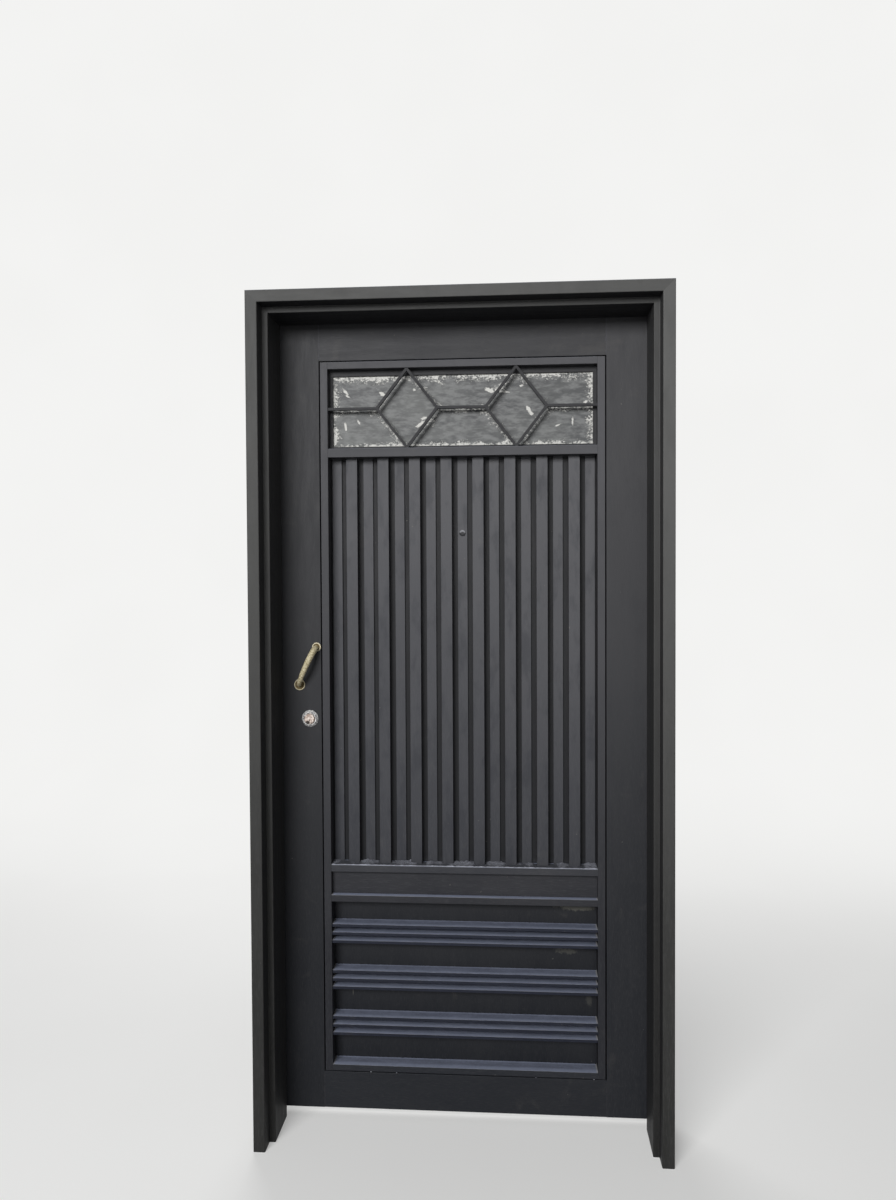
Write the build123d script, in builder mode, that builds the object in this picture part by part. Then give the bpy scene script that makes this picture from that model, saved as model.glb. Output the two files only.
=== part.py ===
from build123d import *
from math import acos, cos, hypot, pi, radians, sin, tan
import os

os.makedirs("parts", exist_ok=True)

# A steel front door with its frame. X is right as seen from the street, Y goes into the house, Z is up.
# All sizes in mm. Depths are counted from the street face of the frame, local depths from the leaf's face.

# Folded sheet
sheet = 1.5
bend_radius = 2.5

# Frame section: outer face, step back, second face, stop, rebate and returned lips
frame_width = 1000.0
frame_height = 2058.0
outer_face = 29.0
step_depth = 42.0
second_face = 15.0
stop_face = 18.0
stop_depth = 156.0
lip = 14.0

# Leaf
leaf_clearance = 3.0
stop_clearance = 2.0
leaf_thickness = 44.5
leaf_bottom = 24.5
stile_width = 113.5
top_rail_height = 105.5
bottom_rail_height = 93.5
tube_radius = 1.2

# Insert set into the leaf with a groove all round
groove = 2.5
side_bar = 19.0
top_bar = 17.5
bottom_bar = 16.0
bar_radius = 1.2
transom_bar = 22.0
window_height = 198.8

# Panel field: back sheet, flat strips on both sides of a middle one, raised battens between them
strip_side = 4
strip_end_gap = 3.6
strip_width = 24.0
strip_height = 5.0
batten_width = 28.5
batten_height = 20.0
batten_radius = 1.2

# Crossbars, the recessed panel between them and the ribs below
lower_height = 419.3
crossbar = 17.7
crossbar_radius = 1.2
recess_height = 59.3
recess_depth = 16.0
rib_height = 7.8
rib_setback = 4.0
rib_pitch = 20.8
rib_radius = 0.8
rib_count = 3
first_drop = 58.6
last_drop = 73.7

# Window
glass_depth = 30.0
glass_thickness = 5.0
glass_clearance = 2.5
stop_thickness = 6.0
side_stop = 9.0
top_stop = 14.0
bottom_stop = 7.0
grille_setback = 2.0
grille_thickness = 10.0
grille_bar = 6.5
diamond_share = 0.4063
opening_per_diamond = 4.2
diamond_tip = 4.0

# Handle, placed from the edge of the leaf and above the lock cylinder
handle_top_inset = 102.0
handle_bottom_inset = 58.0
handle_lift = 85.7
handle_rise = 95.6
handle_reach = 39.0
handle_top_radius = 8.0
handle_bottom_radius = 5.4
handle_lean = 30.0
top_rosette_radius = 11.4
bottom_rosette_radius = 14.3
rosette_thickness = 3.0
stud_radius = 4.0
stud_clearance = 0.2
nut_radius = 7.0
nut_thickness = 6.0

# Small chamfer on turned pieces
edge_chamfer = 0.8

# Lock cylinder
cylinder_inset = 84.0
cylinder_z = 1024.0
cylinder_radius = 13.0
cylinder_reach = 11.0
cylinder_length = 40.0
cylinder_clearance = 0.2
ring_base_radius = 21.2
ring_front_radius = 16.0
ring_thickness = 8.0
plug_drop = 5.5
plug_radius = 6.3
plug_reach = 1.0
turning_clearance = 0.05
tail_width = 8.0
tail_thickness = 3.0
keyway_width = 2.0
keyway_height = 8.5
keyway_depth = 24.0

# Rim lock on the room side
case_wall = 2.0
case_inside = 20.0
case_half_height = 62.0
case_right_gap = 1.0
cover_thickness = 2.0
journal_radius = 5.5
bolt_radius = 6.0
bolt_spacing = 34.0
bolt_length = 50.0
bolt_clearance = 0.1
bolt_setback = 1.0
plate_thickness = 4.0
plate_width = 44.0
plate_half_height = 45.0
plate_overlap = 24.0
post_radius = 3.0
post_offset = 8.0
screw_radius = 2.0
screw_head_radius = 4.5
screw_head_height = 2.5
corner_post_radius = 5.0
corner_inset = 6.5

# Pinion and rack
gear_module = 1.0
gear_teeth = 16
pressure_angle = 20.0
flank_gap = 0.05
pinion_addendum = 1.0
rack_addendum = 0.85
dedendum = 1.25
gear_thickness = 6.5
rack_back = 9.0
rack_teeth_before = 2
rack_teeth_after = 7
bolt_throw = 22.0

# Thumb turn
collar_radius = 11.0
collar_thickness = 5.0
collar_gap = 0.5
grip_length = 34.0
grip_thickness = 9.0
grip_reach = 18.0

# Box keeper on the frame
keeper_wall = 2.0
keeper_inside = 20.0
keeper_flange = 18.0
keeper_edge_gap = 1.0

# Hinges
hinge_count = 3
hinge_end = 160.0
knuckle_radius = 7.5
knuckle_offset = 8.0
knuckle_height = 50.0
knuckle_gap = 0.25
pin_radius = 5.0
pin_height = 38.0
pin_clearance = 0.05
pin_end_gap = 1.0
wing_thickness = 3.0
wing_width = 32.0
hinge_axis_inset = 27.5

# Door viewer
viewer_drop = 190.7
viewer_radius = 5.5
viewer_flange_radius = 8.0
viewer_flange = 1.5
viewer_lens_radius = 3.6
viewer_tail = 6.0
viewer_nut_radius = 8.5
viewer_nut = 3.0
viewer_clearance = 0.1

# Tie straps across the open side of the jambs
strap_height = 40.0
strap_thickness = 3.0
strap_hole_radius = 4.5
strap_end = 229.0
strap_count = 3

# Derived depths: the box is centred on Y
leaf_depth = stop_depth + stop_clearance
frame_depth = leaf_depth + leaf_thickness
case_depth = case_wall + case_inside
cover_back = leaf_thickness + case_depth + cover_thickness
turn_back = cover_back + collar_gap + collar_thickness + grip_reach
overall_depth = leaf_depth + turn_back
street_y = -overall_depth / 2
leaf_y = street_y + leaf_depth
leaf_back_y = leaf_y + leaf_thickness

# Derived widths and heights
half_width = frame_width / 2
jamb_face = outer_face + second_face
rebate = jamb_face - stop_face
leaf_edge = half_width - rebate - leaf_clearance
leaf_top = frame_height - rebate - leaf_clearance
leaf_height = leaf_top - leaf_bottom
stile_inner = leaf_edge - stile_width
top_rail_z = leaf_top - top_rail_height
bottom_rail_z = leaf_bottom + bottom_rail_height
insert_half = stile_inner - groove
opening_half = insert_half - side_bar
insert_top = top_rail_z - groove
insert_bottom = bottom_rail_z + groove
window_top = insert_top - top_bar
window_bottom = window_top - window_height
field_top = window_bottom - transom_bar
lower_bar_top = insert_bottom + bottom_bar
crossbar_bottom = lower_bar_top + lower_height
recess_bottom = crossbar_bottom + crossbar
recess_top = recess_bottom + recess_height
field_bottom = recess_top + crossbar
field_height = field_top - field_bottom
viewer_z = field_top - viewer_drop
floor_depth = leaf_thickness - sheet
opening_width = 2 * opening_half

# Section of the frame as (distance from the outer edge, depth), from the street lip to the room lip
section = [
    (0, lip),
    (0, 0),
    (outer_face, 0),
    (outer_face, step_depth),
    (jamb_face, step_depth),
    (jamb_face, stop_depth),
    (rebate, stop_depth),
    (rebate, frame_depth),
    (0, frame_depth),
    (0, frame_depth - lip),
]

# Planes looked at from the street: X right, Z up
leaf_front = Plane((0, leaf_y, 0), x_dir=(1, 0, 0), z_dir=(0, -1, 0))
leaf_back = leaf_front.offset(-leaf_thickness)
panel_floor = leaf_front.offset(-floor_depth)
case_floor = leaf_back.offset(-case_wall)
cover_front = leaf_back.offset(-case_depth)
cylinder_x = cylinder_inset - leaf_edge
key_z = cylinder_z - plug_drop


def finish(piece, name):
    piece.part.label = name
    export_step(piece.part, "parts/" + name + ".step")


# Left and right jamb
keeper_half_height = case_half_height
keeper_screw_z = keeper_half_height + keeper_flange / 2
keeper_x = -half_width + keeper_edge_gap
keeper_width = rebate - 2 * keeper_edge_gap
keeper_centre_x = keeper_x + keeper_width / 2
keeper_screws_at = [(keeper_centre_x, key_z - keeper_screw_z), (keeper_centre_x, key_z + keeper_screw_z)]

with BuildPart() as jamb:
    with BuildSketch():
        with BuildLine():
            FilletPolyline(*[(u - half_width, v + street_y) for u, v in section], radius=bend_radius)
            offset(amount=sheet, side=Side.LEFT)
        make_face()
    extrude(amount=frame_height)
    split(bisect_by=Plane((-half_width, 0, frame_height), z_dir=(1, 0, 1)), keep=Keep.BOTTOM)

with BuildPart() as left_jamb:
    add(jamb)
    with BuildSketch(leaf_back):
        with Locations(*keeper_screws_at):
            Circle(screw_radius)
    extrude(amount=sheet, mode=Mode.SUBTRACT)
finish(left_jamb, "left_jamb")

with BuildPart() as right_jamb:
    mirror(jamb.part, about=Plane.YZ)
finish(right_jamb, "right_jamb")

# Head, mitred to both jambs
with BuildPart() as head_jamb:
    with BuildSketch(Plane.YZ.offset(-half_width)):
        with BuildLine():
            FilletPolyline(*[(v + street_y, frame_height - u) for u, v in section], radius=bend_radius)
            offset(amount=sheet, side=Side.LEFT)
        make_face()
    extrude(amount=frame_width)
    split(bisect_by=Plane((-half_width, 0, frame_height), z_dir=(1, 0, 1)), keep=Keep.TOP)
    split(bisect_by=Plane((half_width, 0, frame_height), z_dir=(-1, 0, 1)), keep=Keep.TOP)
finish(head_jamb, "head_jamb")

# Tie straps welded behind the lips of each jamb, each with a hole for a wall anchor
strap_length = frame_depth - 2 * (sheet + bend_radius)
strap_pitch = (frame_height - 2 * strap_end) / (strap_count - 1)
strap_heights = [strap_end + i * strap_pitch for i in range(strap_count)]
for name, side in (("left_tie_straps", -1), ("right_tie_straps", 1)):
    with BuildPart() as tie_straps:
        with BuildSketch(Plane.YZ.offset(side * (half_width - sheet))):
            with Locations(*[(street_y + frame_depth / 2, z) for z in strap_heights]):
                Rectangle(strap_length, strap_height)
                Circle(strap_hole_radius, mode=Mode.SUBTRACT)
        extrude(amount=-side * strap_thickness)
    finish(tie_straps, name)

# Box keeper, open towards the leaf, with a flange and a screw above and below
keeper_depth = keeper_wall + keeper_inside + keeper_wall
with BuildPart() as lock_keeper:
    with BuildSketch(leaf_back):
        with Locations((keeper_centre_x, key_z)):
            Rectangle(keeper_width, 2 * (keeper_half_height + keeper_flange))
        with Locations(*keeper_screws_at):
            Circle(screw_radius, mode=Mode.SUBTRACT)
    extrude(amount=-keeper_wall)
    with BuildSketch(leaf_back.offset(-keeper_wall)):
        with Locations((keeper_centre_x, key_z)):
            Rectangle(keeper_width, 2 * keeper_half_height)
    extrude(amount=keeper_wall - keeper_depth)
    fillet(lock_keeper.edges().filter_by(Axis.X).group_by(Axis.Y)[-1], keeper_wall)
    with BuildSketch(leaf_back.offset(-keeper_wall)):
        with Locations((keeper_centre_x + keeper_wall, key_z)):
            Rectangle(keeper_width, 2 * (keeper_half_height - keeper_wall))
    extrude(amount=-keeper_inside, mode=Mode.SUBTRACT)
finish(lock_keeper, "lock_keeper")

with BuildPart() as keeper_screws:
    with BuildSketch(leaf_back.offset(sheet)):
        with Locations(*keeper_screws_at):
            Circle(screw_radius)
    extrude(amount=-(sheet + keeper_wall))
    with BuildSketch(leaf_back.offset(-keeper_wall)):
        with Locations(*keeper_screws_at):
            Circle(screw_head_radius)
    extrude(amount=-screw_head_height)
    chamfer(keeper_screws.edges().filter_by(GeomType.CIRCLE).group_by(Axis.Y)[-1], screw_head_height / 2)
finish(keeper_screws, "keeper_screws")

# Hinges: the lower half with its pin is welded to the frame, the upper half with a blind bore to the leaf
hinge_x = half_width - hinge_axis_inset
hinge_y = leaf_back_y + knuckle_offset
hinge_height = 2 * knuckle_height + knuckle_gap
hinge_pitch = (leaf_height - 2 * hinge_end - hinge_height) / (hinge_count - 1)
for number in range(1, hinge_count + 1):
    bottom = leaf_bottom + hinge_end + (number - 1) * hinge_pitch
    with BuildPart() as pintle:
        with BuildSketch(Plane.XY.offset(bottom)):
            with Locations((hinge_x, hinge_y)):
                Circle(knuckle_radius)
            with Locations((half_width, leaf_back_y)):
                Rectangle(rebate, wing_thickness, align=(Align.MAX, Align.MIN))
        extrude(amount=knuckle_height)
        with BuildSketch(Plane.XY.offset(bottom + knuckle_height)):
            with Locations((hinge_x, hinge_y)):
                Circle(pin_radius)
        extrude(amount=pin_height)
        chamfer(pintle.edges().filter_by(GeomType.CIRCLE).sort_by(Axis.Z)[-1], pin_clearance * 16)
    finish(pintle, "hinge_pintle_" + str(number))

    with BuildPart() as socket:
        with BuildSketch(Plane.XY.offset(bottom + knuckle_height + knuckle_gap)):
            with Locations((hinge_x, hinge_y)):
                Circle(knuckle_radius)
            with Locations((leaf_edge, leaf_back_y)):
                Rectangle(wing_width, wing_thickness, align=(Align.MAX, Align.MIN))
        extrude(amount=knuckle_height)
        with BuildSketch(Plane.XY.offset(bottom + knuckle_height + knuckle_gap)):
            with Locations((hinge_x, hinge_y)):
                Circle(pin_radius + pin_clearance)
        extrude(amount=pin_height + pin_end_gap, mode=Mode.SUBTRACT)
    finish(socket, "hinge_socket_" + str(number))

# Lock stile and hinge stile: closed folded tubes, capped at the top
lock_x = -leaf_edge + corner_inset
case_right = -stile_inner - case_right_gap
case_width = case_right + leaf_edge
case_x = -leaf_edge + case_width / 2
case_screws_at = [
    (x, key_z + side * (case_half_height - corner_inset))
    for x in (lock_x, case_right - corner_inset)
    for side in (-1, 1)
]
handle_top_x = handle_top_inset - leaf_edge
handle_bottom_x = handle_bottom_inset - leaf_edge
handle_bottom_z = cylinder_z + handle_lift
handle_top_z = handle_bottom_z + handle_rise
stud_points = [(handle_top_x, handle_top_z), (handle_bottom_x, handle_bottom_z)]
key_axis = (cylinder_x, key_z)
for name, side in (("lock_stile", -1), ("hinge_stile", 1)):
    with BuildPart() as stile:
        with BuildSketch(Plane.XY.offset(leaf_bottom)):
            with Locations((side * (leaf_edge + stile_inner) / 2, leaf_y + leaf_thickness / 2)):
                RectangleRounded(stile_width, leaf_thickness, tube_radius)
        extrude(amount=leaf_height)
        with BuildSketch(Plane.XY.offset(leaf_bottom)):
            with Locations((side * (leaf_edge + stile_inner) / 2, leaf_y + leaf_thickness / 2)):
                Rectangle(stile_width - 2 * sheet, leaf_thickness - 2 * sheet)
        extrude(amount=leaf_height - sheet, mode=Mode.SUBTRACT)
        if name == "lock_stile":
            with BuildSketch(leaf_front):
                with Locations((cylinder_x, cylinder_z)):
                    Circle(cylinder_radius + cylinder_clearance)
            extrude(amount=-sheet, mode=Mode.SUBTRACT)
            with BuildSketch(leaf_front):
                with Locations(*stud_points):
                    Circle(stud_radius + stud_clearance)
            extrude(amount=-leaf_thickness, mode=Mode.SUBTRACT)
            with BuildSketch(panel_floor):
                with Locations(key_axis):
                    Circle(journal_radius + stud_clearance)
                with Locations(*case_screws_at):
                    Circle(screw_radius)
            extrude(amount=-sheet, mode=Mode.SUBTRACT)
    finish(stile, name)

# Top and bottom rail between the stiles
for name, low, height in (("top_rail", top_rail_z, top_rail_height), ("bottom_rail", leaf_bottom, bottom_rail_height)):
    with BuildPart() as rail:
        with BuildSketch(Plane.YZ.offset(-stile_inner)):
            with Locations((leaf_y + leaf_thickness / 2, low + height / 2)):
                RectangleRounded(leaf_thickness, height, tube_radius)
                Rectangle(leaf_thickness - 2 * sheet, height - 2 * sheet, mode=Mode.SUBTRACT)
        extrude(amount=2 * stile_inner)
    finish(rail, name)

# Insert frame: side bars run the full height, and their rear flanges close the groove
insert_height = insert_top - insert_bottom
for name, side in (("insert_left_bar", -1), ("insert_right_bar", 1)):
    with BuildPart() as bar:
        with BuildSketch(Plane.XY.offset(insert_bottom)):
            with Locations((side * (insert_half + opening_half) / 2, leaf_y + leaf_thickness / 2)):
                RectangleRounded(side_bar, leaf_thickness, bar_radius)
        extrude(amount=insert_height)
        with BuildSketch(Plane.XY.offset(insert_bottom)):
            with Locations((side * (insert_half + opening_half) / 2, leaf_y + leaf_thickness / 2)):
                Rectangle(side_bar - 2 * sheet, leaf_thickness - 2 * sheet)
        extrude(amount=insert_height, mode=Mode.SUBTRACT)
        with BuildSketch(panel_floor):
            with Locations((side * (stile_inner + opening_half) / 2, (top_rail_z + bottom_rail_z) / 2)):
                Rectangle(stile_inner - opening_half, top_rail_z - bottom_rail_z)
            with Locations((side * (insert_half + opening_half) / 2, (insert_top + insert_bottom) / 2)):
                Rectangle(side_bar - 2 * sheet, insert_height, mode=Mode.SUBTRACT)
        extrude(amount=-sheet)
        with BuildSketch(panel_floor):
            with Locations((side * (insert_half + opening_half) / 2, (insert_top + insert_bottom) / 2)):
                Rectangle(side_bar - 2 * sheet, insert_height)
        extrude(amount=-sheet)
    finish(bar, name)

for name, low, height, side in (
    ("insert_top_bar", window_top, top_bar, 1),
    ("insert_bottom_bar", insert_bottom, bottom_bar, -1),
):
    with BuildPart() as bar:
        with BuildSketch(Plane.YZ.offset(-opening_half)):
            with Locations((leaf_y + leaf_thickness / 2, low + height / 2)):
                RectangleRounded(leaf_thickness, height, bar_radius)
                Rectangle(leaf_thickness - 2 * sheet, height - 2 * sheet, mode=Mode.SUBTRACT)
            with Locations((leaf_back_y - sheet / 2, low + height / 2 + side * groove / 2)):
                Rectangle(sheet, height + groove)
        extrude(amount=opening_width)
    finish(bar, name)

# Transom bar under the window
with BuildPart() as transom:
    with BuildSketch(Plane.YZ.offset(-opening_half)):
        with Locations((leaf_y + leaf_thickness / 2, field_top + transom_bar / 2)):
            RectangleRounded(leaf_thickness, transom_bar, bar_radius)
            Rectangle(leaf_thickness - 2 * sheet, transom_bar - 2 * sheet, mode=Mode.SUBTRACT)
    extrude(amount=opening_width)
finish(transom, "transom_bar")

# Back sheet behind the whole field, with the bore of the door viewer
with BuildPart() as back_sheet:
    with BuildSketch(panel_floor):
        with Locations((0, (field_top + lower_bar_top) / 2)):
            Rectangle(opening_width, field_top - lower_bar_top)
        with Locations((0, viewer_z)):
            Circle(viewer_radius + viewer_clearance, mode=Mode.SUBTRACT)
    extrude(amount=-sheet)
finish(back_sheet, "back_sheet")

# Low flat strips at every pitch
strip_pitch = (opening_half - strip_end_gap - strip_width / 2) / strip_side
field_middle = (field_top + field_bottom) / 2
with BuildPart() as flat_strips:
    with BuildSketch(panel_floor):
        with Locations(*[(k * strip_pitch, field_middle) for k in range(-strip_side, strip_side + 1)]):
            Rectangle(strip_width, field_height)
        with Locations((0, viewer_z)):
            Circle(viewer_radius + viewer_clearance, mode=Mode.SUBTRACT)
    extrude(amount=strip_height)
finish(flat_strips, "flat_strips")

# Raised battens between the strips: folded channels welded to the back sheet
batten_steps = [k + 0.5 for k in range(-strip_side, strip_side)]
for number, step in enumerate(batten_steps, start=1):
    with BuildPart() as batten:
        with BuildSketch(Plane.XY.offset(field_bottom)):
            with Locations((step * strip_pitch, leaf_y + floor_depth - batten_height / 2)):
                Rectangle(batten_width, batten_height)
            fillet(vertices().group_by(Axis.Y)[0], batten_radius)
            with Locations((step * strip_pitch, leaf_y + floor_depth - (batten_height - sheet) / 2)):
                Rectangle(batten_width - 2 * sheet, batten_height - sheet, mode=Mode.SUBTRACT)
        extrude(amount=field_height)
    finish(batten, "batten_" + str(number))

# Crossbars above and below the recessed panel
for name, low in (("upper_crossbar", recess_top), ("lower_crossbar", crossbar_bottom)):
    with BuildPart() as bar:
        with BuildSketch(Plane.YZ.offset(-opening_half)):
            with Locations((leaf_y + floor_depth / 2, low + crossbar / 2)):
                Rectangle(floor_depth, crossbar)
            fillet(vertices().group_by(Axis.X)[0], crossbar_radius)
            with Locations((leaf_y + (floor_depth + sheet) / 2, low + crossbar / 2)):
                Rectangle(floor_depth - sheet, crossbar - 2 * sheet, mode=Mode.SUBTRACT)
        extrude(amount=opening_width)
    finish(bar, name)

# Recessed panel: a tray with two flanges that reach the back sheet
with BuildPart() as recessed_panel:
    with BuildSketch(Plane.YZ.offset(-opening_half)):
        with Locations((leaf_y + (recess_depth + floor_depth) / 2, recess_bottom + recess_height / 2)):
            Rectangle(floor_depth - recess_depth, recess_height)
        with Locations((leaf_y + (recess_depth + sheet + floor_depth) / 2, recess_bottom + recess_height / 2)):
            Rectangle(floor_depth - recess_depth - sheet, recess_height - 2 * sheet, mode=Mode.SUBTRACT)
    extrude(amount=opening_width)
finish(recessed_panel, "recessed_panel")

# Three groups of three ribs, folded channels open to the back sheet
rib_depth = floor_depth - rib_setback
group_height = rib_height + (rib_count - 1) * rib_pitch
group_pitch = (lower_height - first_drop - last_drop - group_height) / 2
for group in range(3):
    group_top = crossbar_bottom - first_drop - group * group_pitch
    rib_centres = [group_top - rib_height / 2 - i * rib_pitch for i in range(rib_count)]
    with BuildPart() as ribs:
        with BuildSketch(Plane.YZ.offset(-opening_half)):
            with Locations(*[(leaf_y + rib_setback + rib_depth / 2, z) for z in rib_centres]):
                Rectangle(rib_depth, rib_height)
            fillet(vertices().group_by(Axis.X)[0], rib_radius)
            with Locations(*[(leaf_y + rib_setback + (rib_depth + sheet) / 2, z) for z in rib_centres]):
                Rectangle(rib_depth - sheet, rib_height - 2 * sheet, mode=Mode.SUBTRACT)
        extrude(amount=opening_width)
    finish(ribs, "rib_group_" + str(group + 1))

# Window glass between stops in front and beads behind
window_middle = (window_top + window_bottom) / 2
with BuildPart() as window_glass:
    with BuildSketch(leaf_front.offset(-glass_depth)):
        with Locations((0, window_middle)):
            Rectangle(opening_width - 2 * glass_clearance, window_height - 2 * glass_clearance)
    extrude(amount=-glass_thickness)
finish(window_glass, "window_glass")

stop_height = window_height - top_stop - bottom_stop
bead_thickness = leaf_thickness - glass_depth - glass_thickness
for name, plane, thickness in (
    ("glazing_stops", leaf_front.offset(stop_thickness - glass_depth), stop_thickness),
    ("glazing_beads", leaf_front.offset(-glass_depth - glass_thickness), bead_thickness),
):
    with BuildPart() as strips:
        with BuildSketch(plane):
            with Locations((0, window_top - top_stop / 2)):
                Rectangle(opening_width, top_stop)
            with Locations((0, window_bottom + bottom_stop / 2)):
                Rectangle(opening_width, bottom_stop)
        extrude(amount=-thickness)
        with BuildSketch(plane):
            for side in (-1, 1):
                with Locations((side * (opening_half - side_stop / 2), window_bottom + bottom_stop + stop_height / 2)):
                    Rectangle(side_stop, stop_height)
        extrude(amount=-thickness, clean=False)
    finish(strips, name)

# Diamond grilles and the short bars between them
diamond_half_height = window_height / 2 + diamond_tip
diamond_half_width = opening_width / opening_per_diamond / 2
diamond_offset = diamond_share * opening_half
grille_front = leaf_front.offset(-grille_setback)
for name, side in (("left_diamond", -1), ("right_diamond", 1)):
    with BuildPart() as diamond:
        with BuildSketch(grille_front):
            with Locations((side * diamond_offset, window_middle)):
                Polygon(
                    (diamond_half_width, 0),
                    (0, diamond_half_height),
                    (-diamond_half_width, 0),
                    (0, -diamond_half_height),
                )
                offset(amount=-grille_bar, kind=Kind.INTERSECTION, mode=Mode.SUBTRACT)
            with Locations((side * diamond_offset, window_middle)):
                Rectangle(2 * diamond_half_width, window_height, mode=Mode.INTERSECT)
        extrude(amount=-grille_thickness)
    finish(diamond, name)

with BuildPart() as window_bars:
    with BuildSketch(grille_front):
        with Locations((0, window_middle)):
            Rectangle(opening_width, grille_bar)
        with Locations((-diamond_offset, window_middle), (diamond_offset, window_middle)):
            Polygon(
                (diamond_half_width, 0),
                (0, diamond_half_height),
                (-diamond_half_width, 0),
                (0, -diamond_half_height),
                mode=Mode.SUBTRACT,
            )
    extrude(amount=-grille_thickness)
finish(window_bars, "window_bars")

# Handle: a tapering bow of three arcs that leaves both rosettes square to the leaf
handle_run_x = handle_bottom_x - handle_top_x
handle_run_z = handle_bottom_z - handle_top_z
handle_run = hypot(handle_run_x, handle_run_z)
bow_height = handle_reach - (handle_top_radius + handle_bottom_radius) / 2 - rosette_thickness
lean_sin = sin(radians(handle_lean))
lean_cos = cos(radians(handle_lean))
elbow_slack = bow_height - (1 - lean_cos) * handle_run / (2 * lean_sin)
elbow_radius = elbow_slack / (lean_cos - (1 - lean_cos) * (1 - lean_sin) / lean_sin)
crown_radius = (handle_run - 2 * elbow_radius * (1 - lean_sin)) / (2 * lean_sin)
bow_plane = Plane(
    (handle_top_x, leaf_y - rosette_thickness, handle_top_z),
    x_dir=(handle_run_x, 0, handle_run_z),
    z_dir=(handle_run_z, 0, -handle_run_x),
)
with BuildPart() as handle_bow:
    with BuildLine(bow_plane) as bow_path:
        first_arc = JernArc((0, 0), (0, 1), elbow_radius, handle_lean - 90)
        crown_arc = JernArc(first_arc @ 1, first_arc % 1, crown_radius, -2 * handle_lean)
        last_arc = JernArc(crown_arc @ 1, crown_arc % 1, elbow_radius, handle_lean - 90)
    first_edge, crown_edge, last_edge = bow_path.edges()
    bow_side = bow_plane.z_dir
    with BuildSketch(Plane(first_edge @ 0, x_dir=bow_side, z_dir=first_edge % 0)):
        Circle(handle_top_radius)
    sweep(path=first_edge)
    for position, radius in ((0, handle_top_radius), (1, handle_bottom_radius)):
        with BuildSketch(Plane(crown_edge @ position, x_dir=bow_side, z_dir=crown_edge % position)):
            Circle(radius)
    sweep(path=crown_edge, multisection=True)
    with BuildSketch(Plane(last_edge @ 0, x_dir=bow_side, z_dir=last_edge % 0)):
        Circle(handle_bottom_radius)
    sweep(path=last_edge)
finish(handle_bow, "handle_bow")

with BuildPart() as rosettes:
    for point, radius in zip(stud_points, (top_rosette_radius, bottom_rosette_radius)):
        with BuildSketch(leaf_front):
            with Locations(point):
                Circle(radius)
        extrude(amount=rosette_thickness)
    chamfer(rosettes.edges().filter_by(GeomType.CIRCLE).group_by(Axis.Y)[0], rosette_thickness / 3)
finish(rosettes, "handle_rosettes")

with BuildPart() as studs:
    with BuildSketch(leaf_front):
        with Locations(*stud_points):
            Circle(stud_radius)
    extrude(amount=-leaf_thickness)
    with BuildSketch(leaf_back):
        with Locations(*stud_points):
            RegularPolygon(nut_radius, 6)
    extrude(amount=-nut_thickness)
    chamfer(studs.faces().sort_by(Axis.Y)[-2:].edges(), 1.0)
finish(studs, "handle_studs")

# Lock cylinder: conical ring, round body and the eccentric turning plug
with BuildPart() as cylinder_ring:
    with BuildSketch(leaf_front):
        with Locations((cylinder_x, cylinder_z)):
            Circle(ring_base_radius)
    with BuildSketch(leaf_front.offset(ring_thickness)):
        with Locations((cylinder_x, cylinder_z)):
            Circle(ring_front_radius)
    loft()
    chamfer(cylinder_ring.edges().filter_by(GeomType.CIRCLE).sort_by(Axis.Y)[0], edge_chamfer)
    with BuildSketch(leaf_front):
        with Locations((cylinder_x, cylinder_z)):
            Circle(cylinder_radius)
    extrude(amount=ring_thickness, mode=Mode.SUBTRACT)
finish(cylinder_ring, "cylinder_ring")

with BuildPart() as cylinder_body:
    with BuildSketch(leaf_front.offset(cylinder_reach)):
        with Locations((cylinder_x, cylinder_z)):
            Circle(cylinder_radius)
    extrude(amount=-cylinder_length)
    chamfer(cylinder_body.edges().filter_by(GeomType.CIRCLE).sort_by(Axis.Y)[0], edge_chamfer)
    with BuildSketch(leaf_front.offset(cylinder_reach)):
        with Locations(key_axis):
            Circle(plug_radius + turning_clearance)
    extrude(amount=-cylinder_length, mode=Mode.SUBTRACT)
finish(cylinder_body, "cylinder_body")

plug_front = leaf_front.offset(cylinder_reach + plug_reach)
plug_length = plug_reach + cylinder_length
tail_end = leaf_thickness + case_wall + case_inside / 2
with BuildPart() as key_plug:
    with BuildSketch(plug_front):
        with Locations(key_axis):
            Circle(plug_radius)
    extrude(amount=-plug_length)
    with BuildSketch(plug_front):
        with Locations(key_axis):
            Rectangle(keyway_width, keyway_height)
    extrude(amount=-keyway_depth, mode=Mode.SUBTRACT)
    with BuildSketch(plug_front.offset(-plug_length)):
        with Locations(key_axis):
            Rectangle(tail_thickness, tail_width)
    extrude(amount=-(tail_end - plug_length + cylinder_reach + plug_reach))
    chamfer(key_plug.edges().filter_by(GeomType.CIRCLE).sort_by(Axis.Y)[0], 0.5)
finish(key_plug, "key_plug")

# Pinion: involute teeth on a shaft that runs in the case floor and in the cover
pitch_radius = gear_module * gear_teeth / 2
base_radius = pitch_radius * cos(radians(pressure_angle))
tip_radius = pitch_radius + pinion_addendum * gear_module
root_radius = pitch_radius - dedendum * gear_module
tooth_thickness = pi * gear_module / 2 - 2 * flank_gap
tooth_step = 360 / gear_teeth


def half_angle(radius):
    # Half of the tooth's angle in degrees at a radius, on an involute of the base circle
    at_pitch = tan(radians(pressure_angle)) - radians(pressure_angle)
    turned = acos(min(1.0, base_radius / radius))
    return (tooth_thickness / (2 * pitch_radius) + at_pitch - (tan(turned) - turned)) * 180 / pi


def polar(radius, degrees):
    return (cylinder_x + radius * cos(radians(degrees)), key_z + radius * sin(radians(degrees)))


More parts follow.
